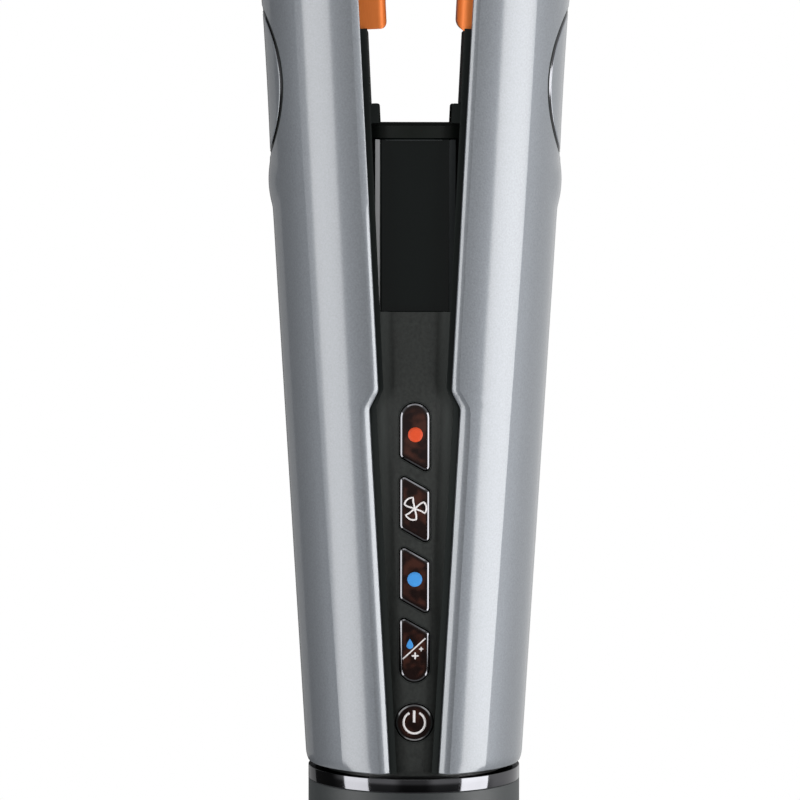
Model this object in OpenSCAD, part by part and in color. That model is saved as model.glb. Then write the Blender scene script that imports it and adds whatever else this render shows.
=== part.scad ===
// Airflow hair straightener: a round base with a motor, and two long arms that
// close round a fixed spine. Millimetres, +Z along the length, front towards -Y,
// origin at the centre of the flat foot. Each arm is drawn closed and upright,
// then turned open about its own hinge pin.

/* [Base] */
// Radius of the handle and of the bright ring
base_r = 20.5; // [19.5:0.1:21]
// Height of the top of the bright ring above the table
base_h = 62; // [56:1:80]
// Height of the bright ring
ring_h = 2.6; // [1.5:0.1:5]
// Height of the end cap at the foot
end_cap_h = 3; // [2:0.1:6]
// Height of the plain sleeve under the ring
sleeve_h = 13; // [9:0.5:16]
// Wall of the sleeve and of the filter cage
base_wall = 1.6; // [1:0.1:2]
// Number of slots round the filter cage
cage_slots = 36; // [12:1:48]
// Width of one slot in the filter cage
cage_slot_w = 1.5; // [0.8:0.1:1.8]
// Thickness of the filter mesh
mesh_t = 0.6; // [0.4:0.1:1]
// Gap between the filter mesh and the core tube
core_gap = 1.1; // [0.9:0.1:1.4]
// Wall of the core tube
core_wall = 1.4; // [1:0.1:2]
// Half width of the intake windows in the core tube
intake_half_w = 4; // [2:0.2:4.6]
// Bottom of the intake windows above the end cap
intake_low = 6; // [4:0.5:10]
// Top of the intake windows under the sleeve
intake_high = 16; // [12:0.5:20]
// Margin between the slots and the ends of the filter cage
cage_margin = 4; // [3:0.5:8]
// Thickness of the core's land for the handle sleeve
land_t = 2; // [1:0.5:3]
// Radius of the cord's hole
cord_r = 3.4; // [2.5:0.1:4]
// Height of the cord's gland
gland_h = 9; // [7:0.5:12]

/* [Wand] */
// Gap between the ring and the foot of the arms
foot_gap = 0.9; // [0.6:0.1:2]
// Length of the arms from foot to tip
arm_len = 254; // [230:1:290]
// Radius of the closed wand at the foot of the arms
wand_r_low = 21.2; // [21:0.1:22]
// Radius of the closed wand at the shoulder
wand_r_high = 22.55; // [22:0.05:24]
// Radius of the closed wand at the tip
wand_r_tip = 23.2; // [22.9:0.1:24]
// Height of the shoulder above the foot of the arms
shoulder_up = 107; // [90:1:125]
// Wall of the outer shells
shell_wall = 1.6; // [1.2:0.1:1.8]
// Wall of the inner liners
liner_wall = 1; // [0.8:0.1:1.4]
// Length of the soft tip caps
tip_h = 6; // [4:0.5:9]
// Rounding of the tip caps
tip_round = 3; // [1:0.5:3.5]

/* [Slot between the arms] */
// Half width of the closed front slot at the foot
slot_low = 4.85; // [4.7:0.05:5.6]
// Half width of the closed front slot under the step
slot_high = 5.5; // [5.2:0.05:6]
// Half width of the closed front slot above the step
slot_neck = 3.7; // [3.3:0.05:4.2]
// Half width of the closed front slot at the tip
slot_tip = 4.4; // [4:0.05:4.8]
// Height of the step above the foot of the arms
step_up = 69.9; // [66:0.1:76]
// Height of the step itself
step_h = 3.2; // [2.5:0.1:5]
// Rounding of the step's two corners
step_round = 2; // [0.8:0.1:2.2]
// Half width of the closed rear slot
slot_rear = 4.4; // [4.2:0.1:5]
// How far the liner shows past the shell below the step
lip_low = 1.25; // [0.6:0.05:1.3]
// How far the liner shows past the shell just above the step
lip_neck = 0.95; // [0.4:0.05:1.2]
// How far the liner shows past the shell at the plates
lip_top = 1.7; // [0.8:0.05:1.8]

/* [Hinge] */
// Angle that each arm opens by
open_angle = 2.77; // [2:0.01:3.2]
// Distance of each hinge pin from the middle
pin_x = 9; // [8.8:0.1:9.6]
// Height of the hinge pins above the foot of the arms
pin_up = 7.1; // [6:0.1:8]
// Radius of the hinge pins
pin_r = 1.5; // [1.2:0.1:1.7]
// Radial running fit of the arms on their pins
pin_fit = 0.05; // [0.02:0.01:0.08]
// Radius of the arms' hinge eyes
eye_r = 3.1; // [2.7:0.1:3.2]
// Outer face of the hinge eyes from the middle plane
eye_out = 9.1; // [8:0.1:9.2]
// Inner face of the hinge eyes from the middle plane
eye_in = 4.3; // [4:0.1:5]
// Thickness of the cheeks that hold the pins
cheek_t = 2; // [1.2:0.1:2]
// Radius of the return springs' wire
spring_wire = 0.4; // [0.3:0.05:0.45]
// Turns in each return spring
spring_turns = 5; // [3:1:6]

/* [Spine] */
// Height of the spine above the foot of the arms
spine_up = 123.4; // [118:0.2:128]
// Height of the cap on the spine
spine_cap_h = 2.9; // [2:0.1:5]
// Depth of the two ledges in the cap that the arms' ears reach over
ledge_h = 0.6; // [0.2:0.1:1]
// Height of the arms' ears over the cap
ear_h = 3.1; // [2:0.1:3.4]
// Reach of the arms' ears towards the middle
ear_reach = 1.6; // [1:0.1:2]
// Distance of the ears from the middle plane
ear_y = 16; // [14:0.1:16.5]
// Thickness of the ears
ear_t = 2.6; // [1.6:0.1:2.8]
// Gap between the closed liners and the spine
close_gap = 0.35; // [0.3:0.05:0.6]
// Wall of the chassis
chassis_wall = 1.5; // [1.2:0.1:2]
// Half width of the front panel and the rear cover
panel_half_w = 8.6; // [8.2:0.1:9]
// Wall of the front panel and the rear cover
panel_wall = 1.8; // [1.2:0.1:1.9]
// Height of the display window
window_h = 32.7; // [24:0.1:36]
// Half width of the window's flat face
window_half_w = 6.35; // [5:0.05:6.5]
// Width of the window's bevels
window_bevel = 1.2; // [0.6:0.05:1.3]
// Angle of the window's bevels
bevel_angle = 30; // [15:0.5:31]
// Thickness of the window
window_t = 1.4; // [1:0.1:1.6]
// Thickness of the circuit boards
board_t = 1; // [0.8:0.1:1.2]

/* [Keys] */
// Width of the four long keys
key_w = 5.4; // [4.6:0.1:5.6]
// Side length of the long keys
key_len = 10.05; // [9.6:0.05:10.4]
// Upright gap between the long keys
key_gap = 3.45; // [2.6:0.05:3.6]
// Drop of the long keys' slanted ends from left to right
key_slant = 3.05; // [2:0.05:3.2]
// Gap between the round power key and the lowest long key
power_gap = 4.44; // [3:0.02:5]
// Corner radius of the long keys
key_corner = 0.7; // [0.4:0.1:0.9]
// Clearance between each key and its opening
key_clear = 0.28; // [0.2:0.01:0.35]
// Width of the switches behind the keys
switch_w = 4.4; // [3:0.1:5]
// Height of the switches' bodies
switch_h = 1.1; // [0.8:0.1:1.4]
// Radius of the switches' stems
stem_r = 0.9; // [0.6:0.1:1.4]
// Travel of the keys
key_travel = 0.5; // [0.3:0.05:0.5]
// Radius of the round power key
power_r = 3.46; // [3:0.02:3.5]
// Height of the power key's centre above the foot of the arms
power_up = 9.7; // [9:0.1:10.2]

/* [Heated plates] */
// Foot of the plates above the foot of the arms
plate_up = 141.3; // [138:0.1:146]
// Gap between the plates and the tip caps
plate_tip_gap = 3.1; // [2:0.1:8]
// Length of the solid ends of each plate, where its springs push
plate_end = 16; // [14:0.5:20]
// Thickness of the plates behind their faces
plate_face_t = 2; // [1.6:0.1:2.4]
// Half width of the plates
plate_half_w = 16; // [13:0.1:16.4]
// Where the two plates meet, to the right of the middle
meet_x = 1; // [0:0.1:1.2]
// Gap that is left between the plates when the arms are closed
meet_gap = 0.3; // [0.3:0.05:0.6]
// Rounding of the left plate's edges
left_round = 1.1; // [0.6:0.1:2]
// Rounding of the right plate's edges
right_round = 2.3; // [0.6:0.1:2.5]
// Travel of the floating plates
float_travel = 1; // [0.5:0.1:1.2]
// Room for the leaf springs behind a plate that is pressed in
spring_room = 3.5; // [2.5:0.1:4.5]
// Thickness of the heater behind each plate
heater_t = 2; // [1.4:0.1:2.4]
// Margin between the heater and the edges of its plate
heater_margin = 5.5; // [4:0.1:7]
// Half width of the leaf springs
leaf_half_w = 5; // [3:0.5:7]
// Thickness of the leaf springs
leaf_t = 0.4; // [0.3:0.05:0.5]
// Half width of the openings in the duct's floor
duct_half_w = 10; // [7:0.5:12]

/* [Finger rests] */
// Centre of the finger rests above the foot of the arms
rest_up = 132.5; // [128:0.5:140]
// Half height of the finger rests
rest_half_h = 14.9; // [12:0.1:18]
// Half width of the finger rests
rest_half_w = 12.2; // [9:0.1:13]
// Seam between a finger rest and its shell
rest_seam = 0.8; // [0.3:0.05:1]
// Width of the bright trim round each finger rest
trim_w = 0.8; // [0.6:0.1:1.5]
// Depth of the dish in the finger rests
rest_dish = 0.1; // [0.05:0.05:0.6]
// How far the finger rests lie below the shell
rest_sunk = 0.15; // [0.1:0.05:0.3]
// Height of the swellings of the shell above and below each finger rest
swell_h = 0.55; // [0.2:0.05:0.8]
// Radius of the round that forms each swelling
swell_r = 18; // [14:0.5:20]
// Distance of the swellings from the seam of the finger rest
swell_gap = 4.3; // [3:0.1:6]

/* [Air heater] */
// Height of the air heater
air_heater_h = 48; // [30:1:56]
// Gap between the deck and the air heater
air_heater_gap = 8; // [5:0.5:12]
// Upright distance between the turns of its winding
winding_pitch = 5; // [3:0.5:8]
// Distance of the winding from the edge of the mica
winding_in = 1.5; // [1:0.1:3]
// Width of the wound band
winding_w = 1.1; // [0.8:0.1:2]

/* [Motor] */
// Radius of the motor can
motor_r = 10.5; // [9:0.1:11]
// Height of the motor can
motor_h = 25; // [20:0.5:26]
// Radius of the motor shaft
shaft_r = 1.2; // [1:0.1:1.6]
// Length of the shaft inside the motor
shaft_len = 7.5; // [4:0.5:12]
// Height of the room between the impeller and the ring
plenum_h = 4.5; // [4:0.5:8]
// Number of blades on the impeller
blade_count = 9; // [5:1:11]
// Number of vanes that carry the motor
vane_count = 7; // [3:1:9]
// Height of the impeller
impeller_h = 7.5; // [5:0.5:8]
// Radius of the impeller's hub
hub_r = 6; // [4:0.2:8]
// Gap between the impeller's blades and the core tube
blade_gap = 0.9; // [0.5:0.1:1.5]
// Height of the motor's vaned mount
mount_h = 12; // [8:0.5:16]
// Distance of the two frame screws from the middle
screw_x = 11; // [10:0.1:12]
// Radius of the frame screws
screw_r = 0.9; // [0.7:0.1:1.2]
// Length of the frame screws under their heads
screw_len = 6; // [4:0.5:6]

/* [Lock] */
// Height of the arm lock above the foot of the arms when it is free
lock_up = 22; // [18:0.5:60]
// Travel of the arm lock
lock_travel = 4; // [2:0.5:6]
// Half width of the arm lock's knob
lock_half_w = 2.6; // [2:0.1:2.8]

/* [Hidden] */
left = -1;
right = 1;
fine = 96;
beyond = 60;
seat = 0.3;

core_r = base_r - base_wall - mesh_t - core_gap;
foot_z = base_h + foot_gap;
tip_z = foot_z + arm_len;
shoulder_z = foot_z + shoulder_up;
step_z = foot_z + step_up;
pin_z = foot_z + pin_up;
spine_z = foot_z + spine_up;
plate_z = foot_z + plate_up;
plate_len = arm_len - tip_h - plate_tip_gap - plate_up;
rest_z = foot_z + rest_up;
shell_top_z = tip_z - tip_h;
ring_z = base_h - ring_h;
sleeve_z = ring_z - sleeve_h;
plinth_z = base_h + seat;
plinth_t = 2.5;
liner_inset = shell_wall;
spine_inset = shell_wall + liner_wall + close_gap;
panel_z = plinth_z;
panel_top_z = spine_z - spine_cap_h - window_h;
neck_half_x = pin_x - eye_r - 0.9;
neck_half_y = eye_out;
deck_z = pin_z + eye_r + 3.6;
cheek_in = eye_out + seat;
cheek_out = cheek_in + cheek_t;
wall_front_y = -cheek_out - 0.2;
board_y = wall_front_y - board_t;
flange_y = board_y - 2.9;
flange_t = 0.7;
plate_rim = 1.4;
plate_rim_u = slot_tip + 0.2;
plate_back_u = plate_rim_u + plate_rim + 0.5;
plate_flange_t = 1.2;
plate_spring_u = plate_back_u + plate_flange_t;
tray_u = plate_spring_u + float_travel + spring_room;
tray_t = 1.2;
lock_z = foot_z + lock_up;
motor_top_z = ring_z - impeller_h - plenum_h;
motor_z = motor_top_z - motor_h;

silver = "#8d9196";
black = "#26292a";
matte = "#34393a";
dark_grey = "#4a4e50";
steel = "#b9bcc0";
copper = "#c0622a";
gloss = "#0c0f0f";
board_green = "#1f5b3a";
key_brown = "#3a1c1a";

// Radius of the closed wand at height z
function wand_r(z) =
    z < shoulder_z
    ? wand_r_low + (wand_r_high - wand_r_low) * (z - foot_z) / shoulder_up
    : wand_r_high + (wand_r_tip - wand_r_high) * (z - shoulder_z) / (tip_z - shoulder_z);

// Outward normal of the edge from a to b of an outline that runs anticlockwise
function edge_normal(a, b) = [b[1] - a[1], a[0] - b[0]] / norm(b - a);

// The outline with every edge moved outwards by d
function grown(points, d) =
    let (n = len(points))
    [for (i = [0:n - 1])
        let (
            before = edge_normal(points[(i + n - 1) % n], points[i]),
            after = edge_normal(points[i], points[(i + 1) % n])
        )
        points[i] + d * (before + after) / (1 + before * after)];

// The outline with corner i rounded to radii[i], which is 0 for a sharp corner
function rounded(points, radii, steps = 8) =
    let (n = len(points))
    [for (i = [0:n - 1])
        let (
            p = points[i],
            to_last = (points[(i + n - 1) % n] - p) / norm(points[(i + n - 1) % n] - p),
            to_next = (points[(i + 1) % n] - p) / norm(points[(i + 1) % n] - p),
            half = acos(max(-1, min(1, to_last * to_next))) / 2,
            way = (to_last + to_next) / norm(to_last + to_next),
            centre = p + way * radii[i] / sin(half),
            first = p + to_last * radii[i] / tan(half) - centre,
            last = p + to_next * radii[i] / tan(half) - centre,
            turn = 180 - 2 * half,
            spin = first[0] * last[1] - first[1] * last[0] > 0 ? 1 : -1
        )
        each radii[i] == 0 ? [p] : [for (k = [0:steps])
            let (a = spin * turn * k / steps)
            centre + [first[0] * cos(a) - first[1] * sin(a), first[0] * sin(a) + first[1] * cos(a)]]];

// Points of an upright ellipse in the plane of y and z
function oval(half_w, half_h, steps = 48) =
    [for (i = [0:steps - 1]) [half_w * cos(360 * i / steps), half_h * sin(360 * i / steps)]];

// The closed wand as a full body, drawn in by inset all round
module wand(inset, z0, z1) {
    heights = [z0, if (z0 < shoulder_z && z1 > shoulder_z) shoulder_z, z1];
    rotate_extrude($fn = fine)
        polygon(concat([[0, z0]], [for (z = heights) [wand_r(z) - inset, z]], [[0, z1]]));
}

// A plain ring round the axis
module ring(outer, inner, z0, z1) {
    translate([0, 0, z0])
        difference() {
            cylinder(r = outer, h = z1 - z0, $fn = fine);
            translate([0, 0, -1])
                cylinder(r = inner, h = z1 - z0 + 2, $fn = fine);
        }
}

// A box between two corners
module block(low, high) {
    translate(low)
        cube(high - low);
}

// A round rod along Y between two depths
module rod_y(x, z, r, y0, y1) {
    translate([x, y1, z])
        rotate([90, 0, 0])
            cylinder(r = r, h = y1 - y0, $fn = 48);
}

// An outline in x and z, drawn out along Y between two depths
module slab_y(points, y0, y1) {
    translate([0, y1, 0])
        rotate([90, 0, 0])
            linear_extrude(height = y1 - y0)
                polygon(points);
}

// What is drawn on the right goes to the left side too
module on_side(side) {
    mirror([side == left ? 1 : 0, 0, 0])
        children();
}

// A closed arm, turned open about its pin
module opened(side) {
    on_side(side)
        translate([pin_x, 0, pin_z])
            rotate([0, open_angle, 0])
                translate([-pin_x, 0, -pin_z])
                    children();
}

// Everything below the foot of the arms, which is cut level with the arms open
module below_foot() {
    block([-beyond, -beyond, foot_z - beyond], [beyond, beyond, foot_z]);
}

// The front edge of a shell in x and z, from below its foot to above its tip,
// with the step between the wide slot for the keys and the narrow one above
function shell_edge() = rounded([
    [beyond, foot_z - 8],
    [slot_low, foot_z - 8],
    [slot_high, step_z],
    [slot_neck, step_z + step_h],
    [slot_tip, tip_z + 4],
    [beyond, tip_z + 4]
], [0, 0, step_round, step_round, 0, 0]);

// The front edge of a liner, which shows past its shell up to the plate
function liner_edge() = rounded([
    [beyond, foot_z - 8],
    [slot_low - lip_low, foot_z - 8],
    [slot_high - lip_low, step_z],
    [slot_neck - lip_neck, step_z + step_h],
    [slot_tip - lip_top, spine_z],
    [slot_tip - lip_top, plate_z - 0.5],
    [plate_rim_u, plate_z - 0.5],
    [plate_rim_u, tip_z + 4],
    [beyond, tip_z + 4]
], [0, 0, step_round, step_round, 0, 0, 0, 0, 0]);

// The part of space that one arm has when closed, given its front outline
module arm_space(front, rear_edge) {
    slab_y(front, -beyond, 0);
    block([rear_edge, 0, foot_z - 8], [beyond, beyond, tip_z + 4]);
}

// The oval of a finger rest, drawn out sideways through the arm's wall
module rest_prism(grow) {
    translate([wand_r_low / 2, 0, rest_z])
        rotate([90, 0, 90])
            linear_extrude(height = beyond)
                polygon(oval(rest_half_w + grow, rest_half_h + grow));
}

// A low round swelling of the shell, with its middle at height z
module swelling(z) {
    translate([wand_r(z) + swell_h - swell_r, 0, z])
        sphere(r = swell_r, $fn = fine);
}

// Outer shell of one arm, with its foot eased in and an oval hole for the rest
module shell(side) {
    swell_off = rest_half_h + rest_seam + swell_gap;
    difference() {
        opened(side)
            difference() {
                intersection() {
                    difference() {
                        union() {
                            rotate_extrude($fn = fine)
                                polygon([
                                    [0, foot_z - 1],
                                    [wand_r_low - 0.75, foot_z - 1],
                                    [wand_r(foot_z + 0.4) - 0.25, foot_z + 0.4],
                                    [wand_r(foot_z + 2.2), foot_z + 2.2],
                                    [wand_r_high, shoulder_z],
                                    [wand_r(shell_top_z), shell_top_z],
                                    [0, shell_top_z]
                                ]);
                            swelling(rest_z - swell_off);
                            swelling(rest_z + swell_off);
                        }
                        wand(shell_wall, foot_z - 3, tip_z);
                    }
                    arm_space(shell_edge(), slot_rear);
                }
                rest_prism(rest_seam);
            }
        below_foot();
    }
}

// Inner liner of one arm: an open half tube round the spine, a closed duct above
// it, the seat of the plate, the tray of the plate's springs and the hinge eyes
module liner(side) {
    duct_z = spine_z + 3.6;
    inner = shell_wall + liner_wall;
    difference() {
        opened(side)
            difference() {
                union() {
                    intersection() {
                        difference() {
                            wand(liner_inset, foot_z - 2, shell_top_z);
                            wand(inner, foot_z - 3, tip_z);
                        }
                        arm_space(liner_edge(), slot_rear - 0.4);
                    }
                    intersection() {
                        wand(inner - 0.2, foot_z - 2, shell_top_z);
                        liner_inside(duct_z);
                    }
                    hinge_eyes();
                }
                rod_y(pin_x, pin_z, pin_r + pin_fit, -beyond, beyond);
            }
        below_foot();
    }
}

// Flat walls inside the liner, all clipped to its round wall
module liner_inside(duct_z) {
    wall_u = slot_tip - lip_top;
    // Floor of the duct, open in the middle for the air
    difference() {
        block([wall_u, -beyond, duct_z], [beyond, beyond, duct_z + liner_wall]);
        block([wall_u + 3, -duct_half_w, duct_z - 1], [wand_r_low - 6, duct_half_w, duct_z + 3]);
    }
    // Inner wall between the spine and the plate
    block([wall_u, -beyond, duct_z], [wall_u + 1.2, beyond, plate_z - 0.5]);
    // Shelf under the plate
    block([wall_u, -beyond, plate_z - 1.7], [plate_back_u + 1, beyond, plate_z - 0.5]);
    // Rim that the plate shows through
    difference() {
        block([plate_rim_u, -beyond, plate_z - 1], [plate_rim_u + plate_rim, beyond, shell_top_z]);
        block([0, -plate_half_w - 0.5, plate_z - 0.4],
            [beyond, plate_half_w + 0.5, plate_z + plate_len + 0.4]);
    }
    // Tray that the plate's springs push against
    block([tray_u, -beyond, plate_z + 4], [tray_u + tray_t, beyond, plate_z + plate_len - 4]);
    // Two guide ears that reach over the ledges of the spine's cap
    low = spine_z - ledge_h + seat;
    for (y = [-ear_y - ear_t, ear_y]) {
        slab_y(rounded([
            [wall_u - ear_reach, low],
            [wall_u + 1.2, low],
            [wall_u + 1.2, spine_z + seat + ear_h],
            [wall_u - ear_reach, spine_z + seat + ear_h]
        ], [0, 0, 0, 0.5]), y, y + ear_t);
        block([wall_u, y, spine_z + seat], [wall_u + 1.2, y + ear_t, duct_z + 0.5]);
    }
}

// Two hinge eyes on webs that grow out of the liner's foot
module hinge_eyes() {
    intersection() {
        wand(shell_wall + liner_wall - 0.2, foot_z - 2, shell_top_z);
        for (y = [-eye_out, eye_in])
            union() {
                rod_y(pin_x, pin_z, eye_r, y, y + eye_out - eye_in);
                block([pin_x, y, pin_z - eye_r + 0.4],
                    [beyond, y + eye_out - eye_in, pin_z + eye_r - 0.4]);
            }
    }
}

// Dished inlay for a fingertip, in the shell's oval hole
module finger_rest(side) {
    opened(side)
        intersection() {
            rotate_extrude($fn = fine)
                polygon(concat(
                    [
                        [wand_r(rest_z + rest_half_h) - shell_wall, rest_z + rest_half_h],
                        [wand_r(rest_z - rest_half_h) - shell_wall, rest_z - rest_half_h]
                    ],
                    [for (i = [-8:8])
                        let (z = rest_z + rest_half_h * i / 8)
                        [wand_r(z) - rest_sunk - rest_dish * (1 - pow(i / 8, 2)), z]]
                ));
            rest_prism(-trim_w);
        }
}

// Bright trim between a finger rest and the seam
module rest_trim(side) {
    opened(side)
        intersection() {
            difference() {
                wand(rest_sunk, rest_z - rest_half_h - 2, rest_z + rest_half_h + 2);
                wand(shell_wall, rest_z - rest_half_h - 3, rest_z + rest_half_h + 3);
            }
            difference() {
                rest_prism(0);
                rest_prism(-trim_w);
            }
        }
}

// Rounded cap that closes the tip of one arm
module tip_cap(side) {
    r = wand_r(shell_top_z);
    opened(side)
        intersection() {
            rotate_extrude($fn = fine)
                polygon(rounded([
                    [0, shell_top_z],
                    [r, shell_top_z],
                    [wand_r_tip, tip_z],
                    [0, tip_z]
                ], [0, 0, tip_round, 0]));
            arm_space(shell_edge(), slot_rear);
        }
}

// One heated plate: a rounded bar with a wider back that holds it in its rim,
// hollow behind its face between two solid ends
module plate(side, face_u, edge_r) {
    outline = rounded([
        [face_u, -plate_half_w],
        [plate_back_u, -plate_half_w],
        [plate_back_u, plate_half_w],
        [face_u, plate_half_w]
    ], [edge_r, 0, 0, edge_r]);
    side_view = rounded([
        [face_u, plate_z],
        [plate_back_u, plate_z],
        [plate_back_u, plate_z + plate_len],
        [face_u, plate_z + plate_len]
    ], [edge_r, 0, 0, edge_r]);
    opened(side)
        difference() {
            union() {
                intersection() {
                    translate([0, 0, plate_z])
                        linear_extrude(height = plate_len)
                            polygon(outline);
                    slab_y(side_view, -beyond, beyond);
                }
                block([plate_back_u, -plate_half_w - 1, plate_z + 0.6],
                    [plate_back_u + plate_flange_t, plate_half_w + 1, plate_z + plate_len - 0.6]);
            }
            block([face_u + plate_face_t, -plate_half_w + 2.5, plate_z + plate_end],
                [beyond, plate_half_w - 2.5, plate_z + plate_len - plate_end]);
        }
}

// Flat ceramic heater on the back of a plate's face, with two terminals
module plate_heater(side, face_u) {
    u = face_u + plate_face_t;
    z0 = plate_z + plate_end + 1;
    z1 = plate_z + plate_len - plate_end - 1;
    opened(side) {
        block([u, heater_margin - plate_half_w, z0], [u + heater_t, plate_half_w - heater_margin, z1]);
        for (y = [-6, 4])
            block([u + heater_t, y, z0 + 2], [u + heater_t + 2.5, y + 2, z0 + 2.6]);
    }
}

// Two bowed leaf springs between the tray and the plate's solid ends
module plate_springs(side) {
    rise = tray_u - plate_spring_u - 0.1;
    half_l = plate_end / 2 - 1.5;
    function bow(i, lift) = [tray_u - (rise - lift) * cos(9 * i), half_l * i / 10];
    opened(side)
        for (z = [plate_z + plate_end / 2 + 3, plate_z + plate_len - plate_end / 2 - 3])
            translate([0, 0, z])
                slab_y(concat(
                    [for (i = [-10:10]) bow(i, 0)],
                    [for (i = [9:-1:-9]) bow(i, leaf_t)]
                ), -leaf_half_w, leaf_half_w);
}

// A tube swept along points that stay across Y, closed at both ends
module wire(points, r, sides = 6) {
    n = len(points);
    rings = [for (i = [0:n - 1])
        let (
            d = points[min(n - 1, i + 1)] - points[max(0, i - 1)],
            t = d / norm(d),
            a = cross(t, [0, 1, 0]) / norm(cross(t, [0, 1, 0])),
            b = cross(t, a)
        )
        [for (k = [0:sides - 1]) points[i] + r * (a * cos(360 * k / sides) + b * sin(360 * k / sides))]];
    polyhedron(
        points = [for (ring = rings) each ring],
        faces = concat(
            [[for (k = [sides - 1:-1:0]) k]],
            [for (i = [0:n - 2], k = [0:sides - 1])
                [i * sides + k, i * sides + (k + 1) % sides, (i + 1) * sides + (k + 1) % sides]],
            [for (i = [0:n - 2], k = [0:sides - 1])
                [i * sides + k, (i + 1) * sides + (k + 1) % sides, (i + 1) * sides + k]],
            [[for (k = [0:sides - 1]) (n - 1) * sides + k]]
        )
    );
}

// Torsion spring round a hinge pin, with one leg against the air neck and the
// other against the arm's liner
module return_spring(side) {
    coil_r = pin_r + 0.35 + spring_wire;
    half_w = eye_in - 0.5 - spring_wire;
    per_turn = 12;
    count = spring_turns * per_turn + per_turn / 2;
    function turn_at(i) = [
        pin_x + coil_r * cos(360 * i / per_turn),
        -half_w + 2 * half_w * i / count,
        pin_z - coil_r * sin(360 * i / per_turn)
    ];
    arm_leg = [wand_r(pin_z) - shell_wall - liner_wall - spring_wire - 0.6, -half_w, pin_z + 5];
    neck_leg = [neck_half_x + spring_wire + 0.1, half_w, pin_z + 6];
    on_side(side)
        wire(concat([arm_leg], [for (i = [0:count]) turn_at(i)], [neck_leg]), spring_wire);
}

// Steel hinge pin with a small head, held by the chassis cheeks
module hinge_pin(side) {
    on_side(side) {
        rod_y(pin_x, pin_z, pin_r, -cheek_out, cheek_out);
        rod_y(pin_x, pin_z, pin_r + 0.6, cheek_out, cheek_out + 0.6);
    }
}

// Fixed spine: plinth, hinge cheeks, air neck and the two-walled channel above
module chassis() {
    top_z = spine_z - spine_cap_h;
    difference() {
        union() {
            // Round plinth inside the bright ring
            translate([0, 0, plinth_z - plinth_t])
                cylinder(r = core_r, h = plinth_t, $fn = fine);
            // Cheeks that hold both pins
            for (y = [-cheek_out, cheek_in])
                block([-pin_x - eye_r, y, plinth_z], [pin_x + eye_r, y + cheek_t, deck_z]);
            // Neck that takes the air past the hinge
            block([-neck_half_x, -neck_half_y, plinth_z], [neck_half_x, neck_half_y, deck_z]);
            // Side walls, which follow the closed wand
            difference() {
                wand(spine_inset, deck_z, top_z);
                wand(spine_inset + chassis_wall, deck_z + 1.5, top_z + 1);
                for (y = [-1, 1])
                    block([-panel_half_w, min(0, y * beyond), deck_z - 1],
                        [panel_half_w, max(0, y * beyond), top_z + 1]);
            }
            // Deck and the flat walls that part the air from the boards
            intersection() {
                wand(spine_inset, deck_z, top_z);
                union() {
                    block([-beyond, wall_front_y, deck_z], [beyond, -wall_front_y, deck_z + 1.5]);
                    for (y = [wall_front_y, -wall_front_y - 1.4])
                        block([-beyond, y, deck_z], [beyond, y + 1.4, top_z]);
                }
            }
        }
        // Air way through the neck
        block([-neck_half_x + 1.2, -neck_half_y + 1.2, base_h - 5],
            [neck_half_x - 1.2, neck_half_y - 1.2, deck_z + 3]);
        // Ports that let the air into the arms
        for (z = [top_z - 30:11:top_z - 8])
            block([-beyond, -7, z], [beyond, 7, z + 7]);
        for (side = [left, right])
            rod_y(side * pin_x, pin_z, pin_r, -beyond, beyond);
        // Holes for the screws from below
        for (side = [left, right])
            translate([side * screw_x, 0, base_h - 5])
                cylinder(r = screw_r + 0.2, h = 8, $fn = 32);
    }
}

// Mica cross with its wound element, in the spine's air channel
module air_heater() {
    z0 = deck_z + air_heater_gap;
    z1 = z0 + air_heater_h;
    half = -wall_front_y - 1.7;
    band = half - winding_in;
    hole = band - winding_w;
    block([-0.5, -half, z0], [0.5, half, z1]);
    block([-half, -0.5, z0], [half, 0.5, z1]);
    for (z = [z0 + 3:winding_pitch:z1 - 4])
        difference() {
            block([-band, -band, z], [band, band, z + 1]);
            block([-hole, -hole, z - 1], [hole, hole, z + 2]);
        }
    ring(half + 0.3, half - 0.7, z0 - 1, z0);
    // Feet on the deck
    for (y = [-half + 1, half - 2])
        block([-0.5, y, deck_z + chassis_wall], [0.5, y + 1, z0]);
}

// Cap that closes the spine between the arms
module spine_cap() {
    z0 = spine_z - spine_cap_h;
    r = wand_r(z0) - spine_inset;
    difference() {
        rotate_extrude($fn = fine)
            polygon([[0, z0], [r, z0], [r, spine_z - 0.5], [r - 0.5, spine_z], [0, spine_z]]);
        for (y = [-beyond, ear_y - seat])
            block([-beyond, y, spine_z - ledge_h], [beyond, y + beyond - ear_y + seat, spine_z + 1]);
    }
    intersection() {
        wand(spine_inset + chassis_wall + 0.1, z0 - 3, z0 + 0.5);
        difference() {
            block([-beyond, wall_front_y + 1.5, z0 - 3], [beyond, -wall_front_y - 1.5, z0 + 0.5]);
            block([-panel_half_w, -beyond, z0 - 4], [panel_half_w, beyond, z0 - 1]);
        }
    }
}

// Outline of long key number i, counted down from the top. Its ends slant down to
// the right, except the top of the first and the bottom of the last, which are round.
function key_outline(i) =
    let (
        lowest = power_z() + power_r + power_gap,
        top = lowest + key_len + key_slant - key_corner + (3 - i) * (key_len + key_gap),
        bottom = top - key_len,
        half = key_w / 2,
        first = i == 0,
        last = i == 3,
        low = lowest
    )
    [
        [-half, last ? low : bottom],
        [half, last ? low : bottom - key_slant],
        [half, first ? top : top - key_slant],
        [-half, top]
    ];

function key_radii(i, grow) =
    let (r = key_corner + grow, full = key_w / 2 + grow - 0.01)
    [i == 3 ? full : r, i == 3 ? full : r, i == 0 ? full : r, i == 0 ? full : r];

function key_points(i, grow) = rounded(grown(key_outline(i), grow), key_radii(i, grow));

function power_z() = foot_z + power_up;

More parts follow.
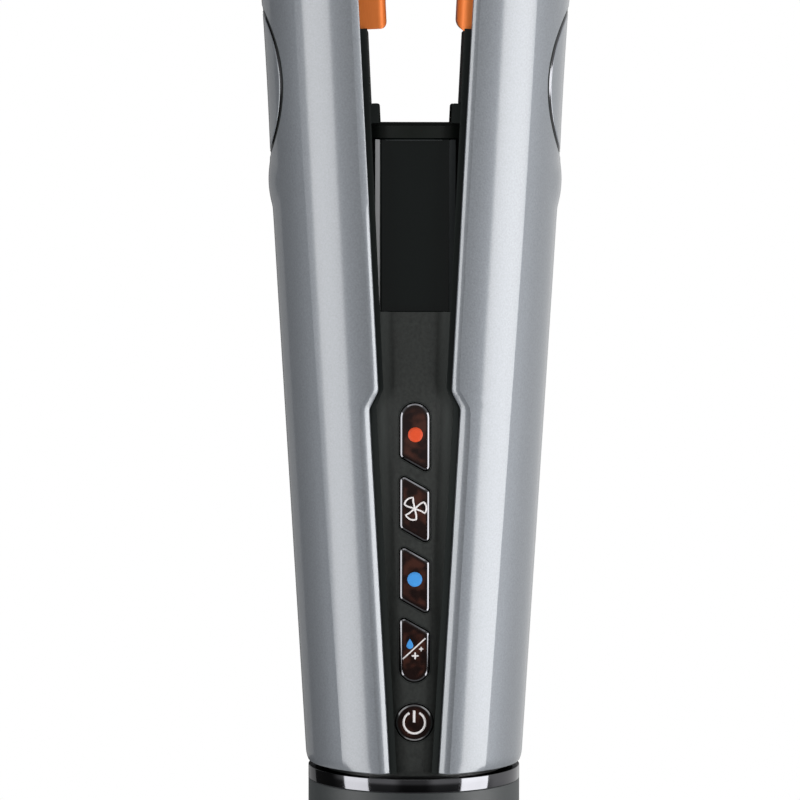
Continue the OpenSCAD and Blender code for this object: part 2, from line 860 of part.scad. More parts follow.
// Matte front panel, with one opening for each key
module front_panel() {
    difference() {
        intersection() {
            difference() {
                wand(spine_inset, panel_z, panel_top_z);
                wand(spine_inset + panel_wall, panel_z - 1, panel_top_z + 1);
            }
            block([-panel_half_w, -beyond, panel_z], [panel_half_w, 0, panel_top_z]);
        }
        for (i = [0:3])
            slab_y(key_points(i, key_clear), -beyond, 0);
        rod_y(0, power_z(), power_r + key_clear, -beyond, 0);
    }
}

// One long key: a cap that follows the panel, and a wider foot behind it
module long_key(i) {
    intersection() {
        wand(spine_inset, panel_z, panel_top_z);
        slab_y(key_points(i, 0), -beyond, flange_y);
    }
    slab_y(key_points(i, key_clear + 0.5), flange_y, flange_y + flange_t);
}

// Round power key
module power_key() {
    intersection() {
        wand(spine_inset, panel_z, panel_top_z);
        rod_y(0, power_z(), power_r, -beyond, flange_y);
    }
    rod_y(0, power_z(), power_r + key_clear + 0.5, flange_y, flange_y + flange_t);
}

// Height of the middle of each key, where its switch sits
function key_middle(i) =
    let (p = key_outline(i))
    (p[0][1] + p[1][1] + p[2][1] + p[3][1]) / 4;

// Five switches on the control board, each with its stem
module key_switches() {
    stem = -flange_y + board_y - flange_t - key_travel - 0.1;
    half = switch_w / 2;
    for (z = concat([for (i = [0:3]) key_middle(i)], [power_z()])) {
        block([-half, board_y - switch_h, z - half], [half, board_y, z + half]);
        rod_y(0, z, stem_r, board_y - stem, board_y - switch_h);
    }
}

// Long circuit board behind the keys
module control_board() {
    block([-panel_half_w + 1.8, board_y, plinth_z + 3], [panel_half_w - 1.8, wall_front_y, panel_top_z - 2]);
}

// Depth of the window's flat face, which lies inside the closed liners' round
function window_y() =
    let (
        half = window_half_w + window_bevel,
        edge = wand_r(panel_top_z) - spine_inset - seat
    )
    -(sqrt(edge * edge - half * half) + window_bevel * tan(bevel_angle));

// Glossy display window with a bevel on each long side
module display_window() {
    z0 = panel_top_z;
    z1 = spine_z - spine_cap_h;
    y = window_y();
    half = window_half_w + window_bevel;
    drop = window_bevel * tan(bevel_angle);
    translate([0, 0, z0])
        linear_extrude(height = z1 - z0)
            polygon([
                [-half, y + drop],
                [-window_half_w, y],
                [window_half_w, y],
                [half, y + drop],
                [half, y + drop + window_t],
                [-half, y + drop + window_t]
            ]);
}

// Screen in its holder, between the window and the chassis wall
module display_module() {
    z0 = panel_top_z + 2;
    z1 = spine_z - spine_cap_h - 2;
    y = window_y() + window_bevel * tan(bevel_angle) + window_t;
    difference() {
        block([-window_half_w, y, z0], [window_half_w, wall_front_y, z1]);
        block([-window_half_w + 1.2, y + 1.5, z0 + 1.2], [window_half_w - 1.2, wall_front_y + 1, z1 - 1.2]);
    }
}

// Plain rear cover with the slot for the arm lock
module rear_cover() {
    slot_low_z = lock_z - 4.3;
    slot_high_z = lock_z + 4.3 + lock_travel;
    difference() {
        intersection() {
            difference() {
                wand(spine_inset, panel_z, spine_z - spine_cap_h);
                wand(spine_inset + panel_wall, panel_z - 1, spine_z);
            }
            block([-panel_half_w, 0, panel_z], [panel_half_w, beyond, spine_z - spine_cap_h]);
        }
        block([-lock_half_w + 0.7, 0, slot_low_z], [lock_half_w - 0.7, beyond, slot_high_z]);
    }
}

// Sliding arm lock: ribbed knob, stem through the cover and a foot behind it
module arm_lock() {
    cover_out = wand_r(lock_z + 6) - spine_inset;
    cover_in = wand_r(lock_z - 6) - spine_inset - panel_wall;
    knob_y = cover_out + 0.3;
    half_stem = lock_half_w - 1;
    difference() {
        slab_y(rounded([
            [-lock_half_w, lock_z - 6],
            [lock_half_w, lock_z - 6],
            [lock_half_w, lock_z + 6],
            [-lock_half_w, lock_z + 6]
        ], [1, 1, 1, 1]), knob_y, knob_y + 1.5);
        for (k = [-2:2])
            block([-beyond, knob_y + 1, lock_z + 1.8 * k - 0.4], [beyond, beyond, lock_z + 1.8 * k + 0.4]);
    }
    block([-half_stem, cover_in - 2, lock_z - 4], [half_stem, knob_y + 0.5, lock_z + 4]);
    block([-lock_half_w - 1, cover_in - 2, lock_z - 5], [lock_half_w + 1, cover_in - 0.9, lock_z + 5]);
}

// Flat end cap at the foot, with the gland's hole and a spigot for the core
module end_cap() {
    rotate_extrude($fn = fine)
        polygon([
            [cord_r + 1.8, 0],
            [base_r - 1.2, 0],
            [base_r - 0.2, 1],
            [base_r - 0.2, end_cap_h],
            [core_r - core_wall, end_cap_h],
            [core_r - core_wall, end_cap_h + 2.5],
            [core_r - core_wall - 1.2, end_cap_h + 2.5],
            [core_r - core_wall - 1.2, end_cap_h],
            [cord_r + 1.8, end_cap_h]
        ]);
}

// Gland that the cord comes out of, with a flange inside the end cap
module cord_gland() {
    rotate_extrude($fn = fine)
        polygon([
            [cord_r, 0],
            [cord_r + 1.8, 0],
            [cord_r + 1.8, end_cap_h],
            [cord_r + 3.2, end_cap_h],
            [cord_r + 3.2, end_cap_h + 1.2],
            [cord_r + 1.8, end_cap_h + 1.2],
            [cord_r + 1.8, gland_h],
            [cord_r, gland_h]
        ]);
}

// Core tube with intake windows behind the filter and a shoulder for the plinth
module core_tube() {
    top = plinth_z - plinth_t;
    land_in = screw_x - screw_r - 1.7;
    difference() {
        ring(core_r, core_r - core_wall, end_cap_h, top);
        for (i = [0:7])
            rotate([0, 0, 45 * i])
                block([0, -intake_half_w, end_cap_h + intake_low],
                    [beyond, intake_half_w, sleeve_z - intake_high]);
    }
    // Two lands for the screws that hold the plinth
    for (side = [left, right])
        difference() {
            intersection() {
                cylinder(r = core_r - core_wall + 0.1, h = beyond * 2, $fn = fine);
                block([min(side * land_in, side * beyond), -3, top - screw_len + plinth_t - 0.5],
                    [max(side * land_in, side * beyond), 3, top]);
            }
            translate([side * screw_x, 0, top - screw_len])
                cylinder(r = screw_r, h = screw_len + 1, $fn = 32);
        }
    // Land that carries the handle sleeve
    ring(base_r - base_wall, core_r - 0.1, sleeve_z + 3, sleeve_z + 3 + land_t);
}

// Slotted cage over the intake, turned to take it off
module filter_cage() {
    z0 = end_cap_h + seat;
    z1 = sleeve_z - seat;
    difference() {
        ring(base_r, base_r - base_wall, z0, z1);
        for (i = [0:cage_slots - 1])
            rotate([0, 0, 360 * i / cage_slots])
                block([0, -cage_slot_w / 2, z0 + cage_margin], [beyond, cage_slot_w / 2, z1 - cage_margin]);
    }
    // Bayonet lugs that hook under the land of the core
    for (i = [0:2])
        rotate([0, 0, 120 * i])
            intersection() {
                ring(base_r - base_wall + 0.1, core_r + seat, z1 - 2.2, z1);
                block([0, -4, 0], [beyond, 4, beyond * 2]);
            }
}

// Fine filter sleeve inside the cage
module filter_mesh() {
    ring(base_r - base_wall, base_r - base_wall - mesh_t, end_cap_h + cage_margin / 2, sleeve_z - cage_margin);
}

// Plain sleeve between the cage and the ring
module handle_sleeve() {
    ring(base_r, base_r - base_wall, sleeve_z, ring_z);
}

// Bright ring under the arms, seated on the sleeve and round the plinth
module chrome_ring() {
    rotate_extrude($fn = fine)
        polygon([
            [core_r, ring_z],
            [base_r, ring_z],
            [base_r, base_h - 0.25],
            [base_r - 0.25, base_h],
            [core_r, base_h]
        ]);
}

// Vaned mount that carries the motor in the core tube
module motor_mount() {
    z1 = motor_top_z - 2;
    z0 = z1 - mount_h;
    inner = core_r - core_wall;
    ring(motor_r + 1, motor_r, z0, z1);
    ring(inner, inner - 0.8, z0, z1);
    for (i = [0:vane_count - 1])
        rotate([0, 0, 360 * i / vane_count])
            block([motor_r + 0.5, -0.5, z0], [inner - 0.4, 0.5, z1]);
}

// Motor can with its bearing boss
module motor_can() {
    difference() {
        union() {
            translate([0, 0, motor_z])
                cylinder(r = motor_r, h = motor_h, $fn = fine);
            translate([0, 0, motor_top_z])
                cylinder(r = 3.2, h = 1.2, $fn = 48);
        }
        translate([0, 0, motor_top_z - shaft_len - 0.5])
            cylinder(r = shaft_r + 0.05, h = shaft_len + beyond, $fn = 48);
    }
}

// Impeller on its shaft
module impeller() {
    z0 = motor_top_z + 1.6;
    blade_r = core_r - core_wall - blade_gap;
    translate([0, 0, motor_top_z - shaft_len])
        cylinder(r = shaft_r, h = z0 - motor_top_z + shaft_len + 1, $fn = 48);
    rotate_extrude($fn = fine)
        polygon([
            [0, z0],
            [hub_r, z0],
            [hub_r, z0 + impeller_h - 2],
            [hub_r - 2.6, z0 + impeller_h],
            [0, z0 + impeller_h]
        ]);
    for (i = [0:blade_count - 1])
        rotate([0, 0, 360 * i / blade_count])
            intersection() {
                translate([hub_r - 0.4, 0, z0 + impeller_h / 2 - 0.5])
                    rotate([38, 0, 0])
                        block([0, -0.5, -impeller_h], [blade_r, 0.5, impeller_h]);
                ring(blade_r, hub_r - 1, z0 + 0.4, z0 + impeller_h - 1.6);
            }
}

// Round power board on the core's floor
module power_board() {
    difference() {
        translate([0, 0, end_cap_h + 2.5])
            cylinder(r = core_r - core_wall, h = board_t, $fn = fine);
        translate([0, 0, end_cap_h])
            cylinder(r = cord_r + 2.4, h = 8, $fn = 48);
    }
    for (a = [40, 160, 280])
        rotate([0, 0, a])
            translate([10.5, 0, end_cap_h + 2.5 + board_t])
                cylinder(r = 2.2, h = 2.2, $fn = 48);
}

// Two screws that hold the plinth on the core's lands
module frame_screws() {
    for (side = [left, right])
        translate([side * screw_x, 0, 0]) {
            translate([0, 0, plinth_z - screw_len])
                cylinder(r = screw_r, h = screw_len, $fn = 32);
            translate([0, 0, plinth_z])
                cylinder(r = screw_r * 2, h = 1, $fn = 32);
        }
}

color(dark_grey) end_cap();
color(black) cord_gland();
color(black) core_tube();
color(dark_grey) filter_cage();
color(steel) filter_mesh();
color(dark_grey) handle_sleeve();
color("#d8d8d8") chrome_ring();
color(black) motor_mount();
color(steel) motor_can();
color("#d0d0cc") impeller();
color(board_green) power_board();
color(black) chassis();
color("#b59a6a") air_heater();
color(black) spine_cap();
color(matte) front_panel();
color(gloss) display_window();
color("#16181c") display_module();
color(board_green) control_board();
color(steel) key_switches();
color(matte) rear_cover();
color(black) arm_lock();
color(steel) frame_screws();
color(key_brown) long_key(0);  // heat_key
color(key_brown) long_key(1);  // fan_key
color(key_brown) long_key(2);  // cool_key
color(key_brown) long_key(3);  // mode_key
color(gloss) power_key();
color(steel) hinge_pin(left);  // left_hinge_pin
color(steel) hinge_pin(right);  // right_hinge_pin
color(steel) return_spring(left);  // left_return_spring
color(steel) return_spring(right);  // right_return_spring
color(silver) shell(left);  // left_shell
color(black) liner(left);  // left_liner
color(silver) finger_rest(left);  // left_finger_rest
color("#d8d8d8") rest_trim(left);  // left_rest_trim
color(black) tip_cap(left);  // left_tip_cap
color(copper) plate(left, -meet_x, left_round);  // left_plate
color("#e6e0d4") plate_heater(left, -meet_x);  // left_plate_heater
color(steel) plate_springs(left);  // left_plate_springs
color(silver) shell(right);  // right_shell
color(black) liner(right);  // right_liner
color(silver) finger_rest(right);  // right_finger_rest
color("#d8d8d8") rest_trim(right);  // right_rest_trim
color(black) tip_cap(right);  // right_tip_cap
color(copper) plate(right, meet_x + meet_gap, right_round);  // right_plate
color("#e6e0d4") plate_heater(right, meet_x + meet_gap);  // right_plate_heater
color(steel) plate_springs(right);  // right_plate_springs
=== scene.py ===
import math
from functools import partial

import bpy
import bmesh
import numpy as np
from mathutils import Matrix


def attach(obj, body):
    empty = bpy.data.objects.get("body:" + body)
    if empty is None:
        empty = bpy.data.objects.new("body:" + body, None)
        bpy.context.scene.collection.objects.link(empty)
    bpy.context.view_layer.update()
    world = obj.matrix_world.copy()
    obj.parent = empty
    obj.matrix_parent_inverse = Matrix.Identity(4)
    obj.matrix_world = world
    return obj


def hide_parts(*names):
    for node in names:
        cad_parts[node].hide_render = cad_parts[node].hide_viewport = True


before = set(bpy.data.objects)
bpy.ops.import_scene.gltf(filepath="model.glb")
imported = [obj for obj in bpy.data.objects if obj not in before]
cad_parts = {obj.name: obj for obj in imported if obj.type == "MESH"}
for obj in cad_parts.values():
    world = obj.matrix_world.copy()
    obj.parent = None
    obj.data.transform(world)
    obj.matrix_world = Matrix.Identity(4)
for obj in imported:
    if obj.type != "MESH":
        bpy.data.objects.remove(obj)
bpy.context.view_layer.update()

MM = 0.001
LEFT, RIGHT = -1, 1
WORD = {LEFT: "left", RIGHT: "right"}

# Sizes in millimetres, from the part's source. The finger rests and their seams are drawn a
# little smaller than there, to the photo.
# Arms: heights, radii of the closed wand, walls, front and rear slot, hinge
FOOT_Z, TIP_Z, TOP_Z = 62.9, 316.9, 310.9
SHOULDER_Z, SHOULDER_EASE, STEP_Z, STEP_H, STEP_ROUND = 169.9, 0.16, 132.4, 3.2, 2.6
R_LOW, R_HIGH, R_TIP = 21.2, 22.55, 23.2
FOOT_DRAW, FOOT_EASE_H, FOOT_CUT_H = 0.75, 2.2, 6.0
SHELL_WALL, LINER_WALL, CLOSE_GAP = 1.6, 1.0, 0.35
SPINE_INSET = SHELL_WALL + LINER_WALL + CLOSE_GAP
SLOT_LOW, SLOT_HIGH, SLOT_NECK, SLOT_TIP, SLOT_REAR = 4.85, 5.5, 3.7, 4.4, 4.4
OPEN_ANGLE = math.radians(2.77)
PIN_X, PIN_Z = 9.0, 70.0
# Finger rests: place and size of the oval, its seam, dish and rim, the trim and the swellings
REST_Z, REST_HALF_H, REST_HALF_W = 194.9, 13.9, 11.6
REST_SEAM, REST_CLEAR, REST_RIM, REST_DISH, REST_SUNK = 0.55, 0.12, 0.3, 0.1, 0.08
TRIM_W, TRIM_EDGE, TRIM_OUT, TRIM_DROP = 0.6, 0.05, 0.2, 0.16
SWELL_H, SWELL_R, SWELL_BLEND, SWELL_Z = 0.55, 18.0, 0.15, (175.4, 215.4)
# Spine: window and keys
SPINE_Z, SPINE_CAP_H, WINDOW_H = 186.3, 2.9, 32.7
WINDOW_HALF_W, WINDOW_BEVEL, BEVEL_DROP, WINDOW_T, WINDOW_SEAT = 6.35, 1.2, 0.693, 1.4, 0.3
POWER_Z, POWER_R, POWER_GAP = 72.6, 3.46, 4.44
KEY_W, KEY_LEN, KEY_GAP, KEY_SLANT, KEY_CORNER = 5.4, 10.05, 3.45, 3.05, 0.7
FLANGE_Y, FLANGE_T, FLANGE_OUT = -15.5, 0.7, 0.78
# Heated plates, with the flange behind each
PLATE_Z, PLATE_LEN, PLATE_HALF_W, PLATE_BACK = 204.2, 103.6, 16.0, 6.5
PLATE_DRAFT, PLATE_FADE = 0.03, 20.0
PLATE_FLANGE_T, PLATE_FLANGE_OUT, PLATE_FLANGE_SHORT, PLATE_FLANGE_ROUND = 1.2, 1.0, 0.6, 0.3
# Handle
BASE_R, BASE_H, RING_H, SLEEVE_H, BASE_WALL, CORE_R = 20.5, 62.0, 2.6, 13.0, 1.6, 17.2


# Mesh helpers
def mesh_object(name, verts_mm, faces, material):
    """A smooth mesh object at the origin from an array of points in millimetres."""
    mesh = bpy.data.meshes.new(name)
    mesh.from_pydata((np.asarray(verts_mm) * MM).tolist(), [], faces)
    mesh.update()
    mesh.materials.append(material)
    mesh.shade_smooth()
    obj = bpy.data.objects.new(name, mesh)
    bpy.context.scene.collection.objects.link(obj)
    return obj


def grid_faces(rows, columns, start=0, wrap=False):
    """Quads of a rows x columns grid of points, closed along its rows if wrap."""
    across = columns if wrap else columns - 1
    i, j = np.meshgrid(np.arange(rows - 1), np.arange(across), indexing="ij")
    here, above, k = i * columns, (i + 1) * columns, (j + 1) % columns
    quads = np.stack([here + j, here + k, above + k, above + j], axis=-1)
    return (quads.reshape(-1, 4) + start).tolist()


def joined(name, grids, material, sharp=None, marks=None):
    """One closed mesh from several (points, wrap) grids whose shared edges are merged, with
    edges sharper than an angle kept sharp and an optional value per point named depth_in."""
    verts, faces, start = [], [], 0
    for points, wrap in grids:
        rows, columns = points.shape[:2]
        verts.append(points.reshape(-1, 3))
        faces += grid_faces(rows, columns, start, wrap)
        start += rows * columns
    obj = mesh_object(name, np.concatenate(verts), faces, material)
    if marks is not None:
        layer = obj.data.attributes.new("depth_in", "FLOAT", "POINT")
        layer.data.foreach_set("value", np.asarray(marks, float).ravel())
    bm = bmesh.new()
    bm.from_mesh(obj.data)
    bmesh.ops.remove_doubles(bm, verts=bm.verts, dist=1e-6)
    bmesh.ops.recalc_face_normals(bm, faces=bm.faces)
    bm.to_mesh(obj.data)
    bm.free()
    obj.data.shade_smooth()
    if sharp:
        obj.data.set_sharp_from_angle(angle=math.radians(sharp))
    return obj


def eased(obj, width_mm):
    """Rounds the sharp edges of a piece by a small radius, as a mould leaves them."""
    bevel = obj.modifiers.new("eased", "BEVEL")
    bevel.width = width_mm * MM
    bevel.segments = 3
    bevel.limit_method = "ANGLE"
    bevel.angle_limit = math.radians(40)
    bevel.use_clamp_overlap = False
    bevel.harden_normals = True
    return obj


def placed(obj, node, body):
    """Says which CAD node a piece stands for and which body it moves with."""
    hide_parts(node)
    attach(obj, body)


def added(obj, body):
    """A piece that stands for no node of its own: it rides on a body."""
    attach(obj, body)


def opened(points, side):
    """Turns points of a closed right arm about its pin by the opening angle:
    x' = px + dx cos a + dz sin a, z' = pz - dx sin a + dz cos a, then mirrors the left one."""
    dx, dz = points[..., 0] - PIN_X, points[..., 2] - PIN_Z
    c, s = math.cos(OPEN_ANGLE), math.sin(OPEN_ANGLE)
    return np.stack([side * (PIN_X + dx * c + dz * s), points[..., 1], PIN_Z - dx * s + dz * c], axis=-1)


def unit(v):
    """The same direction with length 1."""
    return v / np.linalg.norm(v)


def corner_arc(before, p, after, radius, steps):
    """Points of the arc of a radius that touches both sides of corner p: its first point
    turned about the arc's centre, which lies on the corner's middle line."""
    back, on = unit(before - p), unit(after - p)
    half = math.acos(np.clip(back @ on, -1, 1)) / 2
    centre = p + unit(back + on) * radius / math.sin(half)
    first = p + back * radius / math.tan(half) - centre
    last = p + on * radius / math.tan(half) - centre
    turn = math.atan2(first[0] * last[1] - first[1] * last[0], first @ last)
    a = turn * np.linspace(0, 1, steps + 1)[:, None]
    return centre + first * np.cos(a) + np.array([-first[1], first[0]]) * np.sin(a)


def rounded_line(points, radii, steps=6):
    """An open line whose inner corners are arcs of the given radii."""
    points = np.asarray(points, float)
    arcs = [corner_arc(*points[i:i + 3], radii[i], steps) for i in range(len(points) - 2)]
    return np.vstack([points[:1], *arcs, points[-1:]])


def rounded_loop(points, radii, steps=7):
    """A closed outline whose corner i is an arc of radii[i]."""
    points = np.asarray(points, float)
    ring = zip(np.roll(points, 1, axis=0), points, np.roll(points, -1, axis=0), radii)
    return np.vstack([corner_arc(before, p, after, r, steps) for before, p, after, r in ring])


def resampled(loop, count):
    """The same closed outline with its points spaced evenly along it, from its first point."""
    closed = np.vstack([loop, loop[:1]])
    along = np.concatenate([[0], np.cumsum(np.linalg.norm(np.diff(closed, axis=0), axis=1))])
    t = np.linspace(0, along[-1], count, endpoint=False)
    return np.stack([np.interp(t, along, closed[:, k]) for k in (0, 1)], axis=1)


def circle(x, z, r, count=48):
    """Points of a circle."""
    a = np.linspace(0, 2 * math.pi, count, endpoint=False)
    return np.stack([x + r * np.cos(a), z + r * np.sin(a)], axis=1)


def revolved(name, profile, material):
    """A closed profile of (radius, height) points carried round the Z axis in 160 steps."""
    profile = np.vstack([profile, profile[:1]])
    a = np.linspace(0, 2 * math.pi, 160, endpoint=False)
    r, z = profile[:, :1], profile[:, 1:]
    points = np.stack([r * np.cos(a), r * np.sin(a), z + 0 * a], axis=-1)
    return joined(name, [(points, True)], material)


# Materials
def linear(hex_colour):
    """An sRGB hex colour as the linear values that Blender's sockets take."""
    c = [int(hex_colour[i:i + 2], 16) / 255 for i in (1, 3, 5)]
    return [v / 12.92 if v <= 0.04045 else ((v + 0.055) / 1.055) ** 2.4 for v in c] + [1.0]


# Numbers of a Mix node's sockets, which has an A and a B of the same name for each kind of data
PLAIN_A, PLAIN_B, COLOUR_A, COLOUR_B, COLOUR_OUT = 2, 3, 6, 7, 2


def add(tree, kind, sources=(), **settings):
    """Adds one node; settings name its properties or its inputs, and sources gives inputs by
    name or number, each a socket to link from or a plain value."""
    node = tree.nodes.new(kind)
    for key, value in settings.items():
        if hasattr(node, key):
            setattr(node, key, value)
        else:
            node.inputs[key.replace("_", " ")].default_value = value
    for socket, source in dict(sources).items():
        if isinstance(source, bpy.types.NodeSocket):
            tree.links.new(source, node.inputs[socket])
        else:
            node.inputs[socket].default_value = source
    return node


def surface(name, colour, **sockets):
    """A material with one Principled shader whose constants are set on its own sockets."""
    material = bpy.data.materials.new(name)
    material.use_nodes = True
    shader = material.node_tree.nodes["Principled BSDF"]
    shader.inputs["Base Color"].default_value = linear(colour)
    for key, value in sockets.items():
        shader.inputs[key.replace("_", " ")].default_value = value
    return material


def grain(material, size_mm, dark, light, bump_mm=0.0, rough=None, stretch=(1, 1, 1)):
    """Adds a fine grain of a real size: colour from dark to light, roughness and height."""
    tree = material.node_tree
    shader = tree.nodes["Principled BSDF"]
    place = add(tree, "ShaderNodeTexCoord")
    mapping = add(tree, "ShaderNodeMapping", {"Vector": place.outputs["Object"]}, Scale=stretch)
    noise = add(tree, "ShaderNodeTexNoise", {"Vector": mapping.outputs["Vector"]},
                Scale=1 / (size_mm * MM), Detail=2.0)
    colour = add(tree, "ShaderNodeMix", {"Factor": noise.outputs["Fac"], COLOUR_A: linear(dark),
                                         COLOUR_B: linear(light)}, data_type="RGBA")
    tree.links.new(colour.outputs[COLOUR_OUT], shader.inputs["Base Color"])
    if bump_mm:
        bump = add(tree, "ShaderNodeBump", {"Height": noise.outputs["Fac"]}, Distance=bump_mm * MM)
        tree.links.new(bump.outputs["Normal"], shader.inputs["Normal"])
    if rough:
        spread = add(tree, "ShaderNodeMapRange", {"Value": noise.outputs["Fac"]},
                     To_Min=rough[0], To_Max=rough[1])
        tree.links.new(spread.outputs["Result"], shader.inputs["Roughness"])
    return material


def toned(material, factor, colour):
    """Blends the colour that a material has already into another one where the factor is high."""
    tree = material.node_tree
    base = tree.nodes["Principled BSDF"].inputs["Base Color"]
    mix = add(tree, "ShaderNodeMix", {"Factor": factor, COLOUR_A: base.links[0].from_socket,
                                      COLOUR_B: linear(colour)}, data_type="RGBA")
    tree.links.new(mix.outputs[COLOUR_OUT], base)


def painted_margin_light(material, inner_mm, outer_mm):
    """0 in the middle of the key panel and 1 at its long margins, by the distance from x = 0: the mask
    of the painted light there.
    """
    tree = material.node_tree
    place = add(tree, "ShaderNodeTexCoord")
    parts = add(tree, "ShaderNodeSeparateXYZ", {"Vector": place.outputs["Object"]})
    off = add(tree, "ShaderNodeMath", {0: parts.outputs["X"]}, operation="ABSOLUTE")
    ramp = add(tree, "ShaderNodeMapRange", {"Value": off.outputs[0]},
               interpolation_type="SMOOTHSTEP", From_Min=inner_mm * MM, From_Max=outer_mm * MM)
    return ramp.outputs["Result"]


def depth_factor(material, blotch_mm):
    """1 deep inside a key and 0 at its edge, broken up by soft blotches: the brown shows
    only where light gets through the smoked acrylic."""
    tree = material.node_tree
    inside = add(tree, "ShaderNodeAttribute", attribute_name="depth_in")
    place = add(tree, "ShaderNodeTexCoord")
    noise = add(tree, "ShaderNodeTexNoise", {"Vector": place.outputs["Object"]},
                Scale=1 / (blotch_mm * MM), Detail=1.5)
    blotch = add(tree, "ShaderNodeMapRange", {"Value": noise.outputs["Fac"]},
                 interpolation_type="SMOOTHSTEP", From_Min=0.42, From_Max=0.64)
    both = add(tree, "ShaderNodeMath", {0: inside.outputs["Fac"], 1: blotch.outputs["Result"]},
               operation="MULTIPLY")
    return both.outputs[0]


# Silver metallic paint on ABS: flakes under a clear coat, so a broad sheen with sharp bands on
# it. The flakes are drawn coarser than real ones, so that they show
silver_paint = grain(
    surface("silver_metallic_paint", "#797D81", Metallic=0.45, Roughness=0.5, Specular_IOR_Level=0.0,
            Coat_Weight=1.0, Coat_Roughness=0.14),
    0.35, "#676B70", "#82868B", bump_mm=0.022, rough=(0.44, 0.56))
# Dark chrome plate on ABS of the ring, the rests' trims and the keys' rims: a hard dim mirror
dark_chrome = grain(surface("dark_chrome_plate", "#5C5C5E", Metallic=1.0, Roughness=0.07),
                    6.0, "#57575A", "#626265", rough=(0.05, 0.1))
# Bright chrome plate of the power key's rim: a pale mirror
bright_chrome = grain(surface("bright_chrome_plate", "#A9A9AB", Metallic=1.0, Roughness=0.12),
                      6.0, "#A5A5A7", "#ADADAF", rough=(0.1, 0.14))
# Fine-grained moulded ABS, dark grey: soft broad sheen
handle_abs = grain(surface("spark_eroded_abs_grey", "#2A2E2F", Roughness=0.5, IOR=1.52),
                   0.35, "#262A2B", "#303435", bump_mm=0.01, rough=(0.45, 0.6))
# Satin black nylon-filled ABS of the liners and chassis
black_abs = grain(surface("satin_black_abs", "#171A19", Roughness=0.38, IOR=1.5),
                  0.4, "#141716", "#1B1F1E", bump_mm=0.006, rough=(0.34, 0.46))
# Fine matt black ABS of the liners: next to no gloss, so it stays dark between the bright arms
matt_abs = grain(surface("matt_black_abs", "#1C201F", Roughness=0.7, Specular_IOR_Level=0.12),
                 0.4, "#191D1C", "#202423", bump_mm=0.006, rough=(0.64, 0.76))
# Black ABS of the spine's cap, with little gloss
low_gloss_abs = grain(surface("low_gloss_black_abs", "#101411", Roughness=0.45, Specular_IOR_Level=0.2),
                      2.0, "#0E120F", "#121613", rough=(0.4, 0.5))
# Matt moulded ABS of the key panel, with paler long margins that are painted light
panel_abs = grain(surface("spark_eroded_abs_black", "#2C302F", Roughness=0.55, IOR=1.52),
                  0.6, "#000201", "#282C29", bump_mm=0.03, rough=(0.5, 0.65))
# Painted light: a paler colour on the panel's long margins stands in for their sheen and lifts the shade
# that the shells cast there
toned(panel_abs, painted_margin_light(panel_abs, 4.0, 6.8), "#646866")
# Piano black acrylic: black with a hard gloss
black_acrylic = grain(surface("black_acrylic", "#0A0D0D", Roughness=0.05, IOR=1.49),
                      8.0, "#090E0D", "#0D1211", rough=(0.03, 0.08))
# Painted reflection on the window's left bevel: an even, satin pale grey in place of the light that this
# bevel reflects
painted_bevel_reflection = grain(surface("painted_reflection_grey", "#D4D5D7", Roughness=0.35, IOR=1.5),
                   0.5, "#D0D1D3", "#D8D9DB", rough=(0.3, 0.4))
# Smoked brown acrylic keys: nearly black at the edge, deep brown blotches inside, hard gloss
brown_acrylic = grain(surface("smoked_brown_acrylic", "#1A1110", Roughness=0.08, IOR=1.49),
                      1.0, "#170F0E", "#1E1311", rough=(0.05, 0.1))
toned(brown_acrylic, depth_factor(brown_acrylic, 2.6), "#3E241D")
# Copper-coloured anodised aluminium plates: warm satin metal
copper_anodised = grain(surface("copper_anodised_aluminium", "#F08338", Metallic=0.35, Roughness=0.45),
                        0.25, "#EA7D33", "#F68A40", rough=(0.44, 0.54), stretch=(1, 1, 0.15))
# Drawn steel of the pins, springs and screws: a bright metal with fine streaks along it
drawn_steel = grain(surface("drawn_steel", "#B4B6B8", Metallic=1.0, Roughness=0.28),
                    0.3, "#A8AAAD", "#BEC0C2", rough=(0.22, 0.36), stretch=(1, 1, 0.1))
# Woven stainless filter: fine crossed wires, drawn as coarse as they show
filter_steel = grain(surface("woven_stainless", "#8A8C8E", Metallic=0.8, Roughness=0.45),
                     0.5, "#303234", "#A0A2A4", bump_mm=0.05)
# Printed inks: flat and opaque
white_ink = grain(surface("white_ink", "#E6E2E2", Roughness=0.45, IOR=1.5), 0.3, "#DEDADA", "#EEEAEA")
red_ink = grain(surface("red_ink", "#D64A20", Roughness=0.6, IOR=1.4), 0.3, "#D0461D", "#DC4F25")
blue_ink = grain(surface("blue_ink", "#3F93DC", Roughness=0.6, IOR=1.4), 0.3, "#3A8DD6", "#4599E2")
# Moulded rubber of the gland and the motor's mount: soft and dull
moulded_rubber = grain(surface("moulded_rubber", "#1B1C1C", Roughness=0.7, IOR=1.5),
                       0.4, "#171818", "#222323", bump_mm=0.015)
# Natural nylon of the fan: off-white, and light gets a little way into it
natural_nylon = grain(surface("natural_nylon", "#D8D8D2", Roughness=0.4, IOR=1.53,
                              Subsurface_Weight=0.1),
                      0.6, "#D2D2CB", "#DEDED8", bump_mm=0.005)
# Epoxy glass circuit board under a solder mask: an even green gloss
solder_mask = grain(surface("solder_mask_epoxy", "#1C5A38", Roughness=0.3, IOR=1.55),
                    1.2, "#174D30", "#226640")
# Mica and alumina of the heaters: pale, cloudy and matt
mica = grain(surface("mica_and_alumina", "#CFC6B0", Roughness=0.6, IOR=1.56),
             0.8, "#BFB498", "#DDD6C4", bump_mm=0.01)

